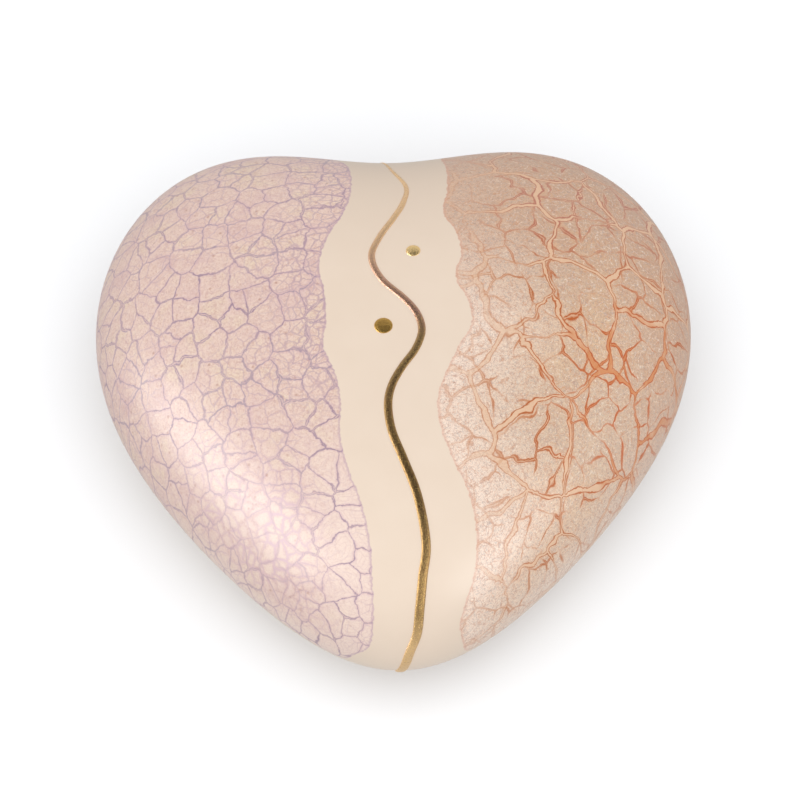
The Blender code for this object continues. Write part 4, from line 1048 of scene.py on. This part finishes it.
# %% [markdown]
# ## The stop tab
#
# The tab is one plastic moulding: a hub on the stop's spindle, an arm, and a finger that hangs
# down for a fingertip to push. Its parts are simple, so they are joined as blocks with round
# edges, all turned by the lean that the tab has at rest.

# %% Stop tab
TAB_LEAN = math.radians(75)
HUB_BORE, HUB_RADIUS, HUB_LOW, HUB_HIGH = 1.35 * MM, 2.6 * MM, 8.4 * MM, 11.6 * MM
ARM_START, ARM_END, ARM_HALF_WIDTH, ARM_HIGH = 1.9 * MM, 11.5 * MM, 1.6 * MM, 10.2 * MM
FINGER_START, FINGER_END, FINGER_HALF_WIDTH, FINGER_LOW = 10.2 * MM, 12 * MM, 3.4 * MM, 3.2 * MM

x, y = places["stop_lever"][:2]
lean = Matrix.Translation((x, y, 0)) @ Matrix.Rotation(TAB_LEAN, 4, "Z")
hub = [(HUB_BORE, HUB_HIGH), (HUB_RADIUS, HUB_HIGH), (HUB_RADIUS, HUB_LOW + SOFT_EDGE)]
hub += [(HUB_RADIUS - SOFT_EDGE, HUB_LOW), (HUB_BORE, HUB_LOW)]
hub = spin_profile(hub, (x, y, 0), steps=64, ring=True)
arm = bar((ARM_START, -ARM_HALF_WIDTH, HUB_LOW), (ARM_END, ARM_HALF_WIDTH, ARM_HIGH), SOFT_EDGE, lean)
finger = bar(
    (FINGER_START, -FINGER_HALF_WIDTH, FINGER_LOW), (FINGER_END, FINGER_HALF_WIDTH, ARM_HIGH), 0.5 * MM, lean
)
tab = carved(hub, [("UNION", arm), ("UNION", finger)])
new_piece("moulded_stop_tab", tab, FINISHES["plastic"], "stop", ["stop_tab"], sharp=35)

# %% [markdown]
# ## The movement inside
#
# The movement keeps the shapes that it has in the frame. The record says what each of its
# pieces is made of, so one loop can hand out the finishes.

# %% Finishes for the carried-over pieces
slots = {part["node"]: part["material_slot"] for part in frame["record"]["subparts"]}
finished = [name for name in frame["nodes"] if slots[name] in FINISHES]
for name in finished:
    carried = frame["nodes"][name]
    carried.data.materials.clear()
    carried.data.materials.append(FINISHES[slots[name]])
print("carried-over pieces with a finish:", len(finished))

# %% [markdown]
# ## Floor and light
#
# The heart lies on a white card in a soft studio. The sky lights it evenly, brightest from
# above the tip. In reflections the sky is white near the horizon and dark overhead, which is
# what the gold mirrors. Two low boxes of light show in reflections only: the left one gives
# the broad highlight on the left lobe, the right one a fainter one opposite. A third box
# lights nothing but the card. The card sends an even glow back to the heart in place of its
# own shadow, and from below it is clear, so that the underside can be looked at.

# %% Floor
FLOOR_BOUNCE = 0.62
FLOOR_HALF_SIDE = 6
floor_finish, tree, shader, _ = start_material("white_card", roughness=0.9)
seen = add(tree, "LightPath", {}, "Is Camera Ray")
bounced = add(tree, "Math", {0: 1.0, 1: seen}, operation="SUBTRACT")
paper = tinted(tree, seen, linear("#000000"), "#DADBDD")
tree.links.new(paper, shader.inputs["Base Color"])
shader.inputs["Emission Color"].default_value = linear("#FFFFFF")
bounce = add(tree, "Math", {0: bounced, 1: FLOOR_BOUNCE}, operation="MULTIPLY")
tree.links.new(bounce, shader.inputs["Emission Strength"])
seen_from_below = add(tree, "NewGeometry", {}, "Backfacing")
clear = add(tree, "BsdfTransparent", {})
either = add(tree, "MixShader", {"Fac": seen_from_below, 1: shader.outputs[0], 2: clear})
tree.links.new(either, tree.nodes["Material Output"].inputs["Surface"])
ground = bmesh.new()
bmesh.ops.create_grid(ground, x_segments=1, y_segments=1, size=FLOOR_HALF_SIDE)
ground_mesh = bpy.data.meshes.new("floor")
ground.to_mesh(ground_mesh)
ground.free()
ground_mesh.materials.append(floor_finish)
floor_object = bpy.data.objects.new("floor", ground_mesh)
bpy.context.scene.collection.objects.link(floor_object)
floor_object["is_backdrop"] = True
print("floor:", 2 * FLOOR_HALF_SIDE, "m wide")

# %% Lights
# The sky's light falls off with the angle from its brightest direction, down to a dim least.
BRIGHTEST, SKY_LIFT, SKY_LEAST, SKY_STRENGTH = (0, -0.40, 0.975), 0.35, 0.08, 1.06
# What the sky looks like in a reflection, from the horizon to overhead.
MIRRORED_SKY = ((0.0, "#FAFAFA"), (0.52, "#F0F0F2"), (0.68, "#8C8C90"), (0.80, "#3A3A3C"))

world = bpy.data.worlds.new("studio")
world.use_nodes = True
sky = world.node_tree
direction = add(sky, "TexCoord", {}, "Generated")
ray = add(sky, "LightPath", {}).node
glow = add(sky, "VectorMath", {0: direction, 1: BRIGHTEST}, "Value", operation="DOT_PRODUCT")
glow = add(sky, "Math", {0: glow, 1: SKY_LIFT}, operation="ADD")
glow = add(sky, "Math", {0: glow, 1: SKY_LEAST}, operation="MAXIMUM")
ceiling = add(sky, "ValToRGB", {"Fac": add(sky, "SeparateXYZ", {0: direction}, "Z")})
set_stops(ceiling.node, MIRRORED_SKY)
light = tinted(sky, ray.outputs["Is Glossy Ray"], glow, ceiling)
light = tinted(sky, ray.outputs["Is Camera Ray"], light, "#FFFFFF")
sky.links.new(light, sky.nodes["Background"].inputs["Color"])
sky.nodes["Background"].inputs["Strength"].default_value = SKY_STRENGTH
bpy.context.scene.world = world
bpy.context.scene.view_settings.view_transform = "Standard"

LIGHTS = (
    # Name, degrees from +Y towards +X, elevation, distance, width and height, power in watts.
    ("left_box", -108, 16, 0.8, (0.75, 0.55), 8.0),
    ("right_box", 128, 8, 1.0, (0.6, 0.5), 4.0),
    ("floor_box", 180, 72, 1.0, (1.1, 1.1), 7.0),
)
floor_only = bpy.data.collections.new("lit_by_floor_box")
floor_only.objects.link(floor_object)
for name, bearing, elevation, distance, (width, height), power in LIGHTS:
    lamp = bpy.data.lights.new(name, "AREA")
    lamp.shape, lamp.size, lamp.size_y, lamp.energy = "RECTANGLE", width, height, power
    made = bpy.data.objects.new(name, lamp)
    bearing, elevation = math.radians(bearing), math.radians(elevation)
    level = math.cos(elevation)
    towards = Vector((math.sin(bearing) * level, math.cos(bearing) * level, math.sin(elevation)))
    made.location = towards * distance
    made.rotation_euler = towards.to_track_quat("Z", "Y").to_euler()
    made.visible_camera = False
    if name == "floor_box":
        made.light_linking.receiver_collection = floor_only
    else:
        made.visible_diffuse = False
    bpy.context.scene.collection.objects.link(made)
print("lights:", len(LIGHTS))

# %% [markdown]
# ## Measure and finish
#
# The finished model has to be as large as the frame says, so its box is measured here.

# %% Measure and finish
low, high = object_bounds()
